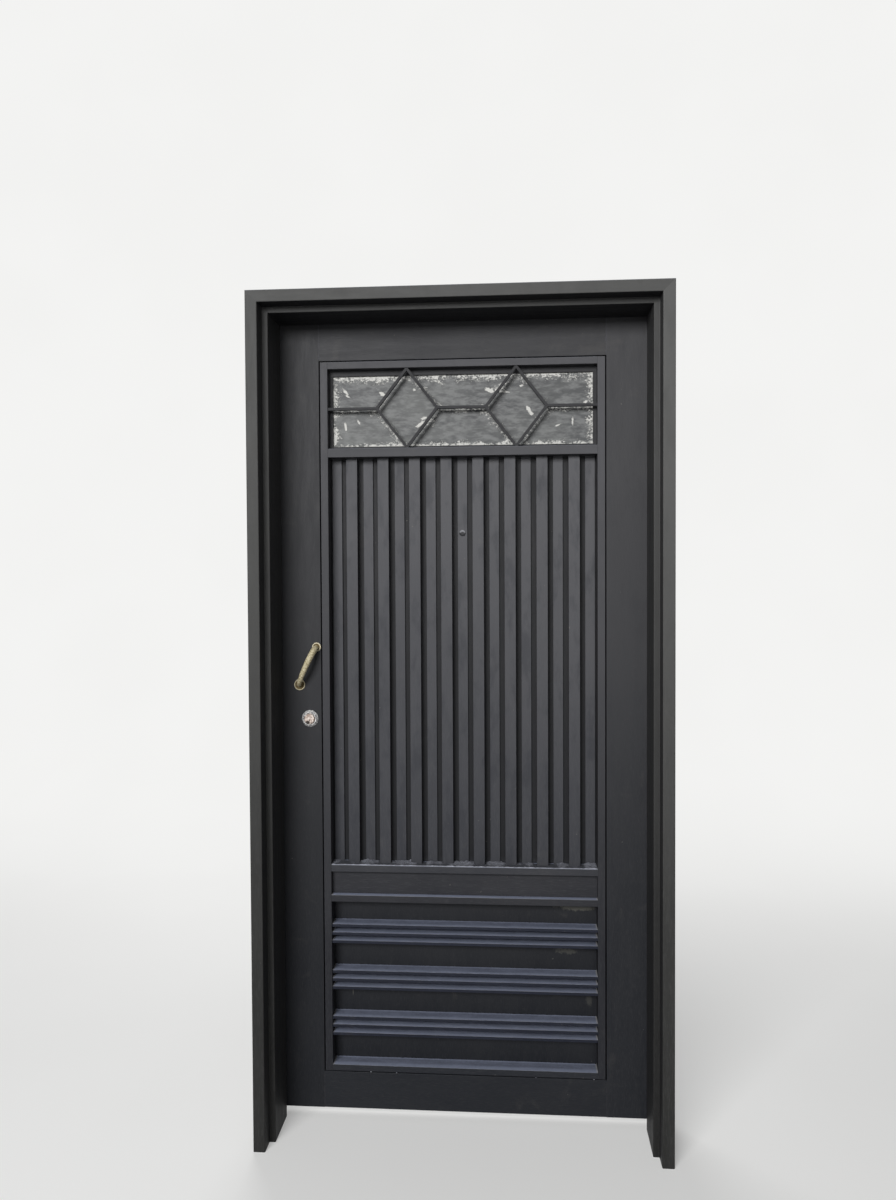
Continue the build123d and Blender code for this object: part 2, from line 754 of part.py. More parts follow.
flank_radii = [base_radius + (tip_radius - base_radius) * i / 4 for i in range(5)]
gear_plane = leaf_back.offset(-(case_wall + (case_inside - gear_thickness) / 2))
shaft_gap = collar_gap
with BuildPart() as drive_pinion:
    with BuildSketch(gear_plane):
        with Locations(key_axis):
            Circle(root_radius)
        for tooth in range(gear_teeth):
            middle = (tooth + 0.5) * tooth_step
            left_flank = [polar(r, middle + half_angle(r)) for r in flank_radii]
            right_flank = [polar(r, middle - half_angle(r)) for r in flank_radii]
            foot = half_angle(base_radius)
            with BuildLine():
                Polyline(
                    polar(root_radius - 0.5, middle - foot),
                    *right_flank,
                    *left_flank[::-1],
                    polar(root_radius - 0.5, middle + foot),
                    close=True,
                )
            make_face()
    extrude(amount=-gear_thickness)
    with BuildSketch(leaf_back.offset(-shaft_gap)):
        with Locations(key_axis):
            Circle(journal_radius)
    extrude(amount=-(case_depth + cover_thickness + collar_gap + collar_thickness - 2 * shaft_gap))
    with BuildSketch(leaf_back):
        with Locations(key_axis):
            Rectangle(tail_thickness, tail_width)
    extrude(amount=-(tail_end - leaf_thickness), mode=Mode.SUBTRACT)
finish(drive_pinion, "drive_pinion")

turn_plane = leaf_front.offset(-cover_back - collar_gap)
with BuildPart() as thumb_turn:
    with BuildSketch(turn_plane):
        with Locations(key_axis):
            Circle(collar_radius)
    extrude(amount=-collar_thickness)
    chamfer(thumb_turn.edges().filter_by(GeomType.CIRCLE).sort_by(Axis.Y)[-1], 1.0)
    with BuildSketch(turn_plane.offset(-collar_thickness)):
        with Locations(key_axis):
            SlotOverall(grip_length, grip_thickness, rotation=90)
            Rectangle(collar_radius, grip_length, mode=Mode.INTERSECT)
    extrude(amount=-grip_reach)
    chamfer(thumb_turn.faces().sort_by(Axis.Y)[-1].edges(), edge_chamfer)
    with BuildSketch(turn_plane):
        with Locations(key_axis):
            Circle(journal_radius)
    extrude(amount=-(collar_thickness - shaft_gap), mode=Mode.SUBTRACT)
finish(thumb_turn, "thumb_turn")

# Bolt carriage: a plate with two guide slots and the rack below the pinion
bolt_tip_x = -leaf_edge + bolt_setback
plate_left = bolt_tip_x + bolt_length - plate_overlap
plate_right = plate_left + plate_width
post_x = plate_left + post_offset
rack_pitch_z = key_z - pitch_radius
rack_root_z = rack_pitch_z - dedendum * gear_module
rack_right = case_right - case_wall - bolt_setback
plate_plane = leaf_back.offset(-(case_wall + case_inside / 2))
tooth_slope = tan(radians(pressure_angle))
rack_top_half = tooth_thickness / 2 - rack_addendum * tooth_slope
rack_root_half = tooth_thickness / 2 + dedendum * tooth_slope
guide_rows = (key_z - bolt_spacing / 2, key_z + bolt_spacing / 2)
with BuildPart() as bolt_carriage:
    with BuildSketch(plate_plane):
        with Locations((plate_left, key_z)):
            Rectangle(plate_width, 2 * plate_half_height, align=(Align.MIN, Align.CENTER))
        with Locations((plate_left, rack_root_z)):
            Rectangle(rack_right - plate_left, rack_back, align=(Align.MIN, Align.MAX))
        for tooth in range(-rack_teeth_before, rack_teeth_after + 1):
            with Locations((cylinder_x + tooth * pi * gear_module, rack_pitch_z)):
                Polygon(
                    (-rack_root_half, -dedendum),
                    (rack_root_half, -dedendum),
                    (rack_top_half, rack_addendum),
                    (-rack_top_half, rack_addendum),
                    align=None,
                )
        for z in guide_rows:
            with Locations((post_x + bolt_throw / 2, z)):
                SlotCenterToCenter(bolt_throw, 2 * (post_radius + bolt_clearance), mode=Mode.SUBTRACT)
    extrude(amount=-plate_thickness)
finish(bolt_carriage, "bolt_carriage")

# Three round bolts, each half cut away where it lies on the plate
bolt_rows = (key_z - bolt_spacing, key_z, key_z + bolt_spacing)
with BuildPart() as bolts:
    with BuildSketch(Plane.YZ.offset(bolt_tip_x)):
        with Locations(*[(leaf_back_y + case_wall + case_inside / 2, z) for z in bolt_rows]):
            Circle(bolt_radius)
    extrude(amount=bolt_length)
    chamfer(bolts.edges().filter_by(GeomType.CIRCLE).group_by(Axis.X)[0], 1.0)
    with BuildSketch(plate_plane):
        with Locations((plate_left, key_z)):
            Rectangle(plate_overlap, 2 * case_half_height, align=(Align.MIN, Align.CENTER))
    extrude(amount=-bolt_radius, mode=Mode.SUBTRACT)
finish(bolts, "bolts")

# Rim lock case: a tray on the stile with guide posts, corner posts and bolt holes, and its cover
with BuildPart() as lock_case:
    with BuildSketch(leaf_back):
        with Locations((case_x, key_z)):
            Rectangle(case_width, 2 * case_half_height)
    extrude(amount=-case_depth)
    with BuildSketch(case_floor):
        with Locations((case_x, key_z)):
            Rectangle(case_width - 2 * case_wall, 2 * (case_half_height - case_wall))
    extrude(amount=-case_inside, mode=Mode.SUBTRACT)
    with BuildSketch(case_floor):
        with Locations(*case_screws_at):
            Circle(corner_post_radius)
    extrude(amount=-case_inside)
    with BuildSketch(case_floor):
        with Locations(*[(post_x, z) for z in guide_rows]):
            Circle(post_radius)
    extrude(amount=-(case_inside / 2 + plate_thickness + bolt_clearance))
    with BuildSketch(leaf_back):
        with Locations(key_axis):
            Circle(journal_radius + turning_clearance)
        with Locations(*case_screws_at):
            Circle(screw_radius)
    extrude(amount=-case_depth, mode=Mode.SUBTRACT)
    with BuildSketch(Plane.YZ.offset(-leaf_edge)):
        with Locations(*[(leaf_back_y + case_wall + case_inside / 2, z) for z in bolt_rows]):
            Circle(bolt_radius + bolt_clearance)
    extrude(amount=case_wall, mode=Mode.SUBTRACT)
finish(lock_case, "lock_case")

with BuildPart() as lock_cover:
    with BuildSketch(cover_front):
        with Locations((case_x, key_z)):
            Rectangle(case_width, 2 * case_half_height)
        with Locations(key_axis):
            Circle(journal_radius + turning_clearance, mode=Mode.SUBTRACT)
        with Locations(*case_screws_at):
            Circle(screw_radius, mode=Mode.SUBTRACT)
    extrude(amount=-cover_thickness)
    chamfer(lock_cover.faces().sort_by(Axis.Y)[-1].outer_wire().edges(), cover_thickness / 2)
finish(lock_cover, "lock_cover")

with BuildPart() as lock_screws:
    with BuildSketch(cover_front.offset(-cover_thickness)):
        with Locations(*case_screws_at):
            Circle(screw_radius)
    extrude(amount=cover_thickness + case_depth + sheet)
    with BuildSketch(cover_front.offset(-cover_thickness)):
        with Locations(*case_screws_at):
            Circle(screw_head_radius)
    extrude(amount=-screw_head_height)
    chamfer(lock_screws.edges().filter_by(GeomType.CIRCLE).group_by(Axis.Y)[-1], screw_head_height / 2)
finish(lock_screws, "lock_screws")

# Door viewer through the middle strip and the back sheet
viewer_front = leaf_front.offset(strip_height - floor_depth)
viewer_grip = strip_height + sheet
with BuildPart() as viewer_barrel:
    with BuildSketch(viewer_front):
        with Locations((0, viewer_z)):
            Circle(viewer_flange_radius)
    extrude(amount=viewer_flange)
    chamfer(viewer_barrel.edges().filter_by(GeomType.CIRCLE).sort_by(Axis.Y)[0], edge_chamfer)
    with BuildSketch(viewer_front):
        with Locations((0, viewer_z)):
            Circle(viewer_radius)
    extrude(amount=-(viewer_grip + viewer_tail))
    with BuildSketch(leaf_back):
        with Locations((0, viewer_z)):
            Circle(viewer_nut_radius)
    extrude(amount=-viewer_nut)
    with BuildSketch(viewer_front.offset(viewer_flange)):
        with Locations((0, viewer_z)):
            Circle(viewer_lens_radius)
    extrude(amount=-(viewer_flange + viewer_grip + viewer_tail), mode=Mode.SUBTRACT)
finish(viewer_barrel, "peephole_barrel")

with BuildPart() as viewer_lens:
    with BuildSketch(viewer_front.offset(viewer_flange / 2)):
        with Locations((0, viewer_z)):
            Circle(viewer_lens_radius)
    extrude(amount=-(viewer_grip + viewer_tail - viewer_flange))
finish(viewer_lens, "peephole_lens")
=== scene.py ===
import math

import bpy
import numpy as np
from bpy.props import FloatProperty, FloatVectorProperty, IntProperty, PointerProperty
from mathutils import Matrix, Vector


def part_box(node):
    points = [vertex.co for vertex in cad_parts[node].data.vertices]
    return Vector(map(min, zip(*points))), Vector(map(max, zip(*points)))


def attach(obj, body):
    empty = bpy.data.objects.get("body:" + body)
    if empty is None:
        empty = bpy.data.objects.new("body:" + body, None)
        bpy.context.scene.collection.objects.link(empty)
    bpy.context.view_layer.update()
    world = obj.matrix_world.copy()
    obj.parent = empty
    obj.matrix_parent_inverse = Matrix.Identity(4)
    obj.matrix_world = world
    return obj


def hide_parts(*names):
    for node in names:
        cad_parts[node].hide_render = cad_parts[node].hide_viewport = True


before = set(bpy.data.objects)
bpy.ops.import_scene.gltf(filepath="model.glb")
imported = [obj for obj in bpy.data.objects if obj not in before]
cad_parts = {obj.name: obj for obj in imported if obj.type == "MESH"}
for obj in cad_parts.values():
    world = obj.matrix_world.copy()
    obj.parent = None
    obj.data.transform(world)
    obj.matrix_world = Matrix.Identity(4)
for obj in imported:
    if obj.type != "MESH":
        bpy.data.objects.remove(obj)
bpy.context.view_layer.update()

bl_info = {
    "name": "Panelled Front Door",
    "version": (1, 0, 0),
    "blender": (4, 5, 0),
    "location": "3D View > Sidebar > Door",
    "description": "Paint, glass, welds, handle and lock of a steel front door in its frame",
    "category": "Object",
}

# All lengths in metres, X right as seen from the street, Y into the house, Z up
LEAF_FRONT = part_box("lock_stile")[0].y
LEAF_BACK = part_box("lock_stile")[1].y
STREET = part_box("left_jamb")[0].y
GLASS_LOW, GLASS_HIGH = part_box("window_glass")
UPPER_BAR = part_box("upper_crossbar")
LOWER_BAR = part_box("lower_crossbar")
RING_LOW, RING_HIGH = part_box("cylinder_ring")
BOW_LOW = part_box("handle_bow")[0]
ROSETTE_LOW, ROSETTE_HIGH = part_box("handle_rosettes")
STRIPS_LOW, STRIPS_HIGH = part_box("flat_strips")
RAIL_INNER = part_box("top_rail")[1].x

# Edges that bend by more than this stay sharp
CREASE = math.radians(38)

# Where the paint, its painted shade and its painted skylight change, each from its start to its end
LEDGE_FRONT = (LEAF_FRONT + 0.008, LEAF_FRONT + 0.020)
LEDGE_BACK = (LEAF_FRONT + 0.034, LEAF_FRONT + 0.041)
DEEPER_STEP = (STREET + 0.025, STREET + 0.040)
RIB_ENDS = (RAIL_INNER - 0.0265, RAIL_INNER - 0.0225)
PAST_RIBS = (RAIL_INNER - 0.002, RAIL_INNER)


# Materials: maths on sockets written as expressions


class Value:
    """One socket of a material or world, on which maths can be written as an expression."""

    def __init__(self, nodes, socket):
        self.nodes = nodes
        self.socket = socket

    def maths(self, operation, *values):
        return self.nodes.add("ShaderNodeMath", {"operation": operation}, dict(enumerate(values)))

    def __add__(self, other):
        return self.maths("ADD", self, other)

    def __radd__(self, other):
        return self.maths("ADD", other, self)

    def __sub__(self, other):
        return self.maths("SUBTRACT", self, other)

    def __rsub__(self, other):
        return self.maths("SUBTRACT", other, self)

    def __mul__(self, other):
        return self.maths("MULTIPLY", self, other)

    def __rmul__(self, other):
        return self.maths("MULTIPLY", other, self)

    def __truediv__(self, other):
        return self.maths("DIVIDE", self, other)

    def __pow__(self, other):
        return self.maths("POWER", self, other)

    def __abs__(self):
        return self.maths("ABSOLUTE", self)

    def larger(self, other):
        return self.maths("MAXIMUM", self, other)

    def smaller(self, other):
        return self.maths("MINIMUM", self, other)

    def near(self, place, reach):
        """One at the place, falling to nothing at the reach on either side."""
        return 1.0 - (abs(self - place) / reach).between(0.0, 1.0)

    def between(self, low, high):
        """The value's place from low to high, on a smooth step from 0 to 1."""
        settings = {"interpolation_type": "SMOOTHSTEP"}
        return self.nodes.add("ShaderNodeMapRange", settings, {0: self, 1: low, 2: high})


class Nodes:
    """The nodes of a material or world."""

    def __init__(self, tree):
        self.tree = tree
        tree.nodes.clear()

    def fill(self, node, key, value):
        if isinstance(value, Value):
            self.tree.links.new(value.socket, node.inputs[key])
        else:
            node.inputs[key].default_value = value

    def add(self, kind, settings, inputs, output=0):
        """A node of that type, with its settings, then the values or links of its sockets."""
        node = self.tree.nodes.new(kind)
        for key, value in settings.items():
            setattr(node, key, value)
        for key, value in inputs.items():
            self.fill(node, key, value)
        return Value(self, node.outputs[output]) if node.outputs else None

    def seen(self):
        """One where the camera sees a place itself or in gloss or glass, 0 where it only throws light."""
        kinds = ("Camera", "Glossy", "Transmission")
        rays = [self.add("ShaderNodeLightPath", {}, {}, f"Is {kind} Ray") for kind in kinds]
        return rays[0].larger(rays[1]).larger(rays[2])


class Finish(Nodes):
    """A node material with one Principled shader."""

    SOCKETS = {
        "colour": "Base Color",
        "roughness": "Roughness",
        "metallic": "Metallic",
        "specular": "Specular IOR Level",
        "normal": "Normal",
        "glow": "Emission Color",
        "glow_strength": "Emission Strength",
    }

    def __init__(self, name):
        self.material = bpy.data.materials.new(name)
        self.material.use_nodes = True
        super().__init__(self.material.node_tree)
        self.shader = self.tree.nodes.new("ShaderNodeBsdfPrincipled")
        output = self.tree.nodes.new("ShaderNodeOutputMaterial")
        self.tree.links.new(self.shader.outputs[0], output.inputs[0])
        self.place = self.add("ShaderNodeTexCoord", {}, {}, "Object")

    def axis(self, name, vector=None):
        return self.add("ShaderNodeSeparateXYZ", {}, {0: vector or self.place}, name)

    def normal(self, name):
        """One axis of the direction that the surface faces."""
        return self.axis(name, self.add("ShaderNodeNewGeometry", {}, {}, "Normal"))

    def scaled(self, factors, move=(0.0, 0.0, 0.0)):
        return self.add("ShaderNodeMapping", {}, {"Vector": self.place, "Scale": factors, "Location": move})

    def noise(self, scale, detail=3.0, roughness=0.55, vector=None, distortion=0.0):
        inputs = {"Vector": vector or self.place, "Scale": scale, "Detail": detail, "Roughness": roughness}
        inputs["Distortion"] = distortion
        return self.add("ShaderNodeTexNoise", {}, inputs)

    def mixed(self, factor, first, second):
        """First colour where the factor is 0, second where it is 1."""
        return self.add("ShaderNodeMix", {"data_type": "RGBA"}, {0: factor, 6: first, 7: second}, 2)

    def attribute(self, name):
        return self.add("ShaderNodeAttribute", {"attribute_name": name}, {}, "Fac")

    def bump(self, height, distance, strength=1.0, normal=None):
        inputs = {"Height": height, "Distance": distance, "Strength": strength}
        if normal is not None:
            inputs["Normal"] = normal
        return self.add("ShaderNodeBump", {}, inputs)

    def set(self, **values):
        for key, value in values.items():
            self.fill(self.shader, self.SOCKETS[key], value)
        return self.material


def rgb(red, green, blue):
    """A colour written in the display's 0 to 255 steps, as linear light."""
    steps = np.array([red, green, blue]) / 255.0
    linear = np.where(steps <= 0.04045, steps / 12.92, ((steps + 0.055) / 1.055) ** 2.4)
    return (*linear.tolist(), 1.0)


# Colours that come over the paint, among them a painted shade, a painted skylight and a painted highlight
# Painted shade on sideways faces, undersides and recesses
PAINTED_SHADE = rgb(12, 12, 15)
SMUDGE = rgb(128, 124, 118)
LEDGE_DUST_AND_SKYLIGHT = rgb(138, 145, 166)
PALE_ENDS = rgb(168, 165, 160)
WORN_AND_HIGHLIT_EDGE = rgb(150, 152, 158)
PALE_PATCH = rgb(108, 107, 100)
CHIP = rgb(150, 146, 140)
# A height above the whole door
NOWHERE = 9.0


def steel_paint(name, along, base, dusty_and_lit, edges=1.0, ledges=1.0, side_shade=0.75, step_shade=0.0, shaded_above=NOWHERE,
                blotchy=0.12, patches=()):
    """Dark satin paint on sheet steel. It has streaks along one axis and grows lighter with height, partly
    from fading and dust and partly as painted light falling from above, and lighter to the right, as painted
    shade towards the left jamb. Sideways faces and undersides, except the outermost sides, take a painted
    shade, as do the deeper step of the frame and, towards the street, the sheet above a chosen height. Over
    it lie cloudy blotches, smudges, a pale bluish colour on ledges, partly dust and partly painted skylight,
    strongest at their front and back, upper edges lighter from wear and a painted highlight, chips, and pale
    patches at chosen places, given as (x, z, reach along x, reach along z, strength). The sheet is faintly
    wavy."""
    paint = Finish(name)
    stretch = {"X": (1.0, 9.0, 9.0), "Z": (9.0, 9.0, 1.0)}[along]
    across, depth, height = paint.axis("X"), paint.axis("Y"), paint.axis("Z")
    up, aside = paint.normal("Z"), paint.normal("X")
    street_side = (0.0 - paint.normal("Y")).between(0.3, 0.7)

    streaks = paint.noise(9.0, 4.0, 0.6, paint.scaled(stretch))
    clouds = paint.noise(4.0, 3.0, 0.6, paint.scaled((1.0, 1.0, 0.55)))
    fine = paint.noise(60.0, 4.0, 0.65, paint.scaled(stretch, (3.0, 1.0, 2.0)))
    grain = paint.noise(160.0, 4.0, 0.7)
    patchy = paint.noise(22.0, 4.0, 0.6, paint.scaled((1.0, 3.0, 1.0)))
    blotches = paint.noise(17.0, 4.0, 0.62, paint.scaled((1.3, 1.0, 0.5), (2.0, 5.0, 1.0)))
    smudges = paint.noise(13.0, 5.0, 0.62, distortion=0.6)
    chips = paint.noise(95.0, 2.0, 0.5)

    # Lighter with height: partly fading and dust, partly painted light falling from above
    rising = height.between(0.1, 1.9)
    faded = rising * 0.85 + clouds.between(0.3, 0.72) * 0.12 + streaks.between(0.3, 0.75) * 0.10 - 0.04
    # Lighter to the right: painted shade towards the left jamb
    faded = faded + (across.between(-0.5, 0.5) * 0.30 - 0.15) * rising
    colour = paint.mixed(faded.larger(0.0).smaller(1.0), base, dusty_and_lit)
    colour = paint.mixed(fine.between(0.45, 0.75) * 0.3, colour, dusty_and_lit)
    colour = paint.mixed(blotches.between(0.48, 0.68) * blotchy, colour, base)
    colour = paint.mixed(smudges.between(0.6, 0.78) * 0.07, colour, SMUDGE)

    # Painted shade on sideways faces and undersides except the outermost sides, on the frame's deeper step
    # and, towards the street, above a chosen height
    outermost = (aside * across).between(0.40, 0.45)
    shade_mask = abs(aside).between(0.6, 0.95).larger((0.0 - up).between(0.5, 0.95)) * (1.0 - outermost * 0.85)
    shade_mask = (shade_mask * side_shade).larger(depth.between(*DEEPER_STEP) * step_shade)
    shade_mask = shade_mask.larger(height.between(shaded_above, shaded_above + 0.02) * street_side * 0.6)
    colour = paint.mixed(shade_mask, colour, PAINTED_SHADE)

    # Upward faces: pale bluish dust, partly painted skylight, strongest at the front and back of each ledge
    ledge = up.between(0.6, 0.95)
    ends = (1.0 - depth.between(*LEDGE_FRONT) * 0.9).larger(depth.between(*LEDGE_BACK) * 0.9)
    dust_and_skylight = grain.between(0.3, 0.7) * 0.15 + patchy.between(0.35, 0.7) * 0.15 + ends * 0.45 + 0.4
    dust_and_skylight = ledge * dust_and_skylight * ledges
    colour = paint.mixed(dust_and_skylight.smaller(1.0), colour, LEDGE_DUST_AND_SKYLIGHT)
    tips = abs(across).between(*RIB_ENDS) * (1.0 - abs(across).between(*PAST_RIBS))
    colour = paint.mixed(ledge * tips * (0.6 * ledges), colour, PALE_ENDS)
    # Upper rounded edges: wear and a painted highlight
    edge = up.between(0.3, 0.6) * (1.0 - up.between(0.9, 0.99))
    colour = paint.mixed(edge * (patchy.between(0.3, 0.6) * 0.4 + 0.3) * edges, colour, WORN_AND_HIGHLIT_EDGE)
    for x, z, wide, high, strength in patches:
        spot = across.near(x, wide) * height.near(z, high)
        torn = (spot + (patchy - 0.5) * 1.4 + (grain - 0.5) * 1.6).between(0.35, 0.85)
        spot = torn * spot.between(0.0, 0.3)
        colour = paint.mixed(spot * street_side * strength, colour, PALE_PATCH)
    colour = paint.mixed(chips.between(0.76, 0.80) * 0.3, colour, CHIP)

    roughness = streaks.between(0.3, 0.7) * 0.10 + fine.between(0.3, 0.7) * 0.08 + 0.5 + dust_and_skylight * 0.35
    wave = paint.noise(5.5, 2.0, 0.4)
    peel = paint.noise(420.0, 2.0, 0.5)
    brushed = paint.noise(75.0, 3.0, 0.5, paint.scaled(stretch, (1.0, 4.0, 2.0)))
    surface = paint.bump(wave, 0.004, 0.35)
    surface = paint.bump(brushed, 0.0006, 0.45, surface)
    surface = paint.bump(peel, 0.00025, 0.35, surface)
    return paint.set(colour=colour, roughness=roughness, specular=0.2, normal=surface)


def bare_metal(name, bright, dull, roughness):
    """Bare metal with fine scratches and duller stained patches."""
    metal = Finish(name)
    patches = metal.noise(90.0, 4.0, 0.62).between(0.42, 0.68)
    scratches = metal.noise(900.0, 2.0, 0.5, metal.scaled((1.0, 1.0, 0.12)))
    colour = metal.mixed(patches * 0.5, bright, dull)
    rough = roughness + patches * 0.2 + scratches.between(0.3, 0.8) * 0.08
    surface = metal.bump(scratches, 0.00015, 0.4)
    return metal.set(colour=colour, roughness=rough, metallic=1.0, normal=surface)


def repaint(nodes, material):
    """Gives CAD nodes one material in all their slots."""
    for node in nodes:
        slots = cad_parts[node].data.materials
        if not slots:
            slots.append(material)
        for index in range(len(slots)):
            slots[index] = material


def mesh_piece(name, shape, material):
    """A smooth mesh from points and faces."""
    points, faces = shape
    mesh = bpy.data.meshes.new(name)
    mesh.from_pydata(points.reshape(-1, 3).tolist(), [], faces)
    mesh.shade_smooth()
    mesh.materials.append(material)
    piece = bpy.data.objects.new(name, mesh)
    bpy.context.scene.collection.objects.link(piece)
    return piece


def surface_piece(name, shape, material, body, stands_for=None, attributes=None):
    """A mesh with sharp creases, riding on a body and standing for a CAD node where one is named."""
    piece = mesh_piece(name, shape, material)
    piece.data.set_sharp_from_angle(angle=CREASE)
    for key, values in (attributes or {}).items():
        layer = piece.data.attributes.new(key, "FLOAT", "POINT")
        layer.data.foreach_set("value", np.ravel(values).astype(np.float32))
    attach(piece, body)
    if stands_for:
        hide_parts(stands_for)


def grid_faces(rows, columns, wrap_columns=False):
    """Quads of a grid of points, closed round along its columns where asked."""
    r = np.arange(rows - 1)
    c = np.arange(columns if wrap_columns else columns - 1)
    r, c = np.meshgrid(r, c, indexing="ij")
    c2 = (c + 1) % columns
    corners = [r * columns + c, r * columns + c2, (r + 1) * columns + c2, (r + 1) * columns + c]
    return np.stack(corners, -1).reshape(-1, 4)


def slab(front, back):
    """A closed slab between two grids of the same size, the first one facing away from the second."""
    rows, columns = front.shape[:2]
    count = rows * columns
    place = np.arange(count).reshape(rows, columns)
    quads = grid_faces(rows, columns)
    rim = np.concatenate([place[0, :-1], place[:-1, -1], place[-1, :0:-1], place[:0:-1, 0]])
    after = np.roll(rim, -1)
    sides = np.stack([rim, rim + count, after + count, after], -1)
    faces = np.concatenate([quads, quads[:, ::-1] + count, sides])
    return np.concatenate([front.reshape(-1, 3), back.reshape(-1, 3)]), faces.tolist()


def capped(rings):
    """Rings of points laid one after another, with a pole in the middle of the first and of the last."""
    rows, around = rings.shape[:2]
    count = rows * around
    c = np.arange(around)
    after = (c + 1) % around
    first = np.stack([np.full(around, count), after, c], -1)
    last = np.stack([np.full(around, count + 1), count - around + c, count - around + after], -1)
    points = np.concatenate([rings.reshape(-1, 3), [rings[0].mean(0)], [rings[-1].mean(0)]])
    return points, grid_faces(rows, around, wrap_columns=True).tolist() + first.tolist() + last.tolist()


def joined(shapes):
    """Several shapes as one list of points and faces."""
    points, faces, count = [], [], 0
    for more, quads in shapes:
        points.append(more.reshape(-1, 3))
        faces += [[index + count for index in face] for face in quads]
        count += len(points[-1])
    return np.concatenate(points), faces


def turned(profile, centre, out, around):
    """A turned shape: every (radius, height) of the profile makes a ring about an axis along Y through the
    centre, with heights counted towards the street (out = -1) or the room (out = 1)."""
    radius, height = np.array(profile).T[:, :, None]
    angle = np.linspace(0.0, 2 * math.pi, around, endpoint=False)[None, :]
    x = centre[0] + radius * np.cos(angle)
    z = centre[2] - out * radius * np.sin(angle)
    y = np.broadcast_to(centre[1] + out * height, x.shape)
    return capped(np.stack([x, y, z], -1))


def smooth_field(rows, columns, spread, seed):
    """White noise from a seed, smoothed by a Gaussian of some cells each way, with a spread of one."""
    noise = np.random.default_rng(seed).normal(size=(rows, columns))
    down = np.fft.fftfreq(rows)[:, None] * spread[0]
    across = np.fft.fftfreq(columns)[None, :] * spread[1]
    smooth = np.fft.ifft2(np.fft.fft2(noise) * np.exp(-2 * math.pi**2 * (down**2 + across**2))).real
    return smooth / smooth.std()


# Settings that a user would change


COLOUR = {"subtype": "COLOR", "size": 3, "min": 0.0, "max": 1.0}


def tone(name, pieces, state, *steps):
    """The setting for the colour of some pieces where their paint is fresh or faded."""
    words = f"{pieces} where the paint is {state}"
    return FloatVectorProperty(name=f"{name}, {state}", description=words, default=rgb(*steps)[:3], **COLOUR)


def power(name, place, watts):
    """The setting for the power of a lamp."""
    words = f"Power of the {place}"
    return FloatProperty(name=name, description=words, subtype="POWER", default=watts, min=0.0)


def length(name, words, usual, least, most):
    """The setting for a length, with its limits."""
    return FloatProperty(name=name, description=words, unit="LENGTH", default=usual, min=least, max=most)


class DoorStageSettings(bpy.types.PropertyGroup):
    """Floor, backdrop and lamps."""

    floor_colour: FloatVectorProperty(
        name="Floor colour", description="Colour of the floor and the backdrop",
        default=(0.90, 0.90, 0.89), **COLOUR)
    key_power: power("Key lamp", "large lamp in front", 345.0)
    fill_power: power("Fill lamp", "second lamp in front", 12.0)
    room_power: power("Room lamp", "lamp behind the door", 60.0)
    sky: FloatProperty(
        name="Sky", description="Strength of the even light from all sides", default=0.10, min=0.0)


class DoorWindowSettings(bpy.types.PropertyGroup):
    """Glass of the window."""

    relief: length("Relief", "Depth of the hammered relief", 0.0006, 0.0, 0.002)
    smear_width: length("Smears", "Width of the putty smears along the bars", 0.013, 0.001, 0.05)


class DoorHandleSettings(bpy.types.PropertyGroup):
    """Bow of the handle."""

    top_radius: length("Upper end", "Radius of the bow at its upper end", 0.0080, 0.002, 0.0105)
    bottom_radius: length("Lower end", "Radius of the bow at its lower end", 0.0054, 0.002, 0.0105)


class DoorDustSettings(bpy.types.PropertyGroup):
    """Dust on the upper crossbar."""

    heap: length("Heaps", "Height of the dust heaped against the strips", 0.0038, 0.0, 0.015)
    seed: IntProperty(name="Seed", description="Changes the outline of the heaps", default=7, min=0)


class DoorPaintSettings(bpy.types.PropertyGroup):
    """Paint of the frame and the leaf."""

    leaf_fresh: tone("Leaf", "Stiles and rails", "fresh", 30, 32, 37)
    leaf_faded: tone("Leaf", "Stiles and rails", "faded", 68, 68, 70)
    insert_fresh: tone("Insert", "Insert and ribs", "fresh", 32, 33, 38)
    insert_faded: tone("Insert", "Insert and ribs", "faded", 82, 82, 85)
    batten_fresh: tone("Battens", "Battens and strips", "fresh", 44, 46, 52)
    batten_faded: tone("Battens", "Battens and strips", "faded", 93, 93, 96)
    frame_fresh: tone("Frame", "Jambs and head", "fresh", 40, 40, 39)
    frame_faded: tone("Frame", "Jambs and head", "faded", 88, 88, 87)


# Stage

FLOOR_START, FLOOR_HALF, FLOOR_DROP = -7.0, 9.0, 0.0005
BACKDROP, BACKDROP_TOP, BACKDROP_TURN = 3.2, 7.0, 1.4
# Where the floor fades to white: into the room, towards the street and to both sides
FADES = ((0.2, BACKDROP - 0.4), (2.5, 6.0), (2.5, 6.5))
BLACK = (0.0, 0.0, 0.0, 1.0)
SKY_LIGHT = (0.93, 0.96, 1.0, 1.0)
SKY_SEEN = (0.93, 0.93, 0.93, 1.0)
# Name, setting, size, place and the point that it looks at
LAMPS = (
    ("key_lamp", "key_power", (2.8, 1.8), (-1.9, -5.6, 3.3), (0.0, 0.0, 1.2)),
    ("fill_lamp", "fill_power", (1.6, 1.6), (1.1, -4.4, 2.4), (0.0, 0.0, 1.5)),
    ("room_lamp", "room_power", (2.2, 1.6), (-0.9, 2.6, 2.7), (0.0, 0.1, 1.0)),
)
CAMERA_PLACE = (0.1354, STREET - 2.1728, 1.3841)
CAMERA_YAW, CAMERA_PITCH, CAMERA_ROLL = math.radians(4.182), math.radians(-1.49), math.radians(0.288)
SENSOR = 36.0
FOCAL_SHARE = 934.4 / 1200.0


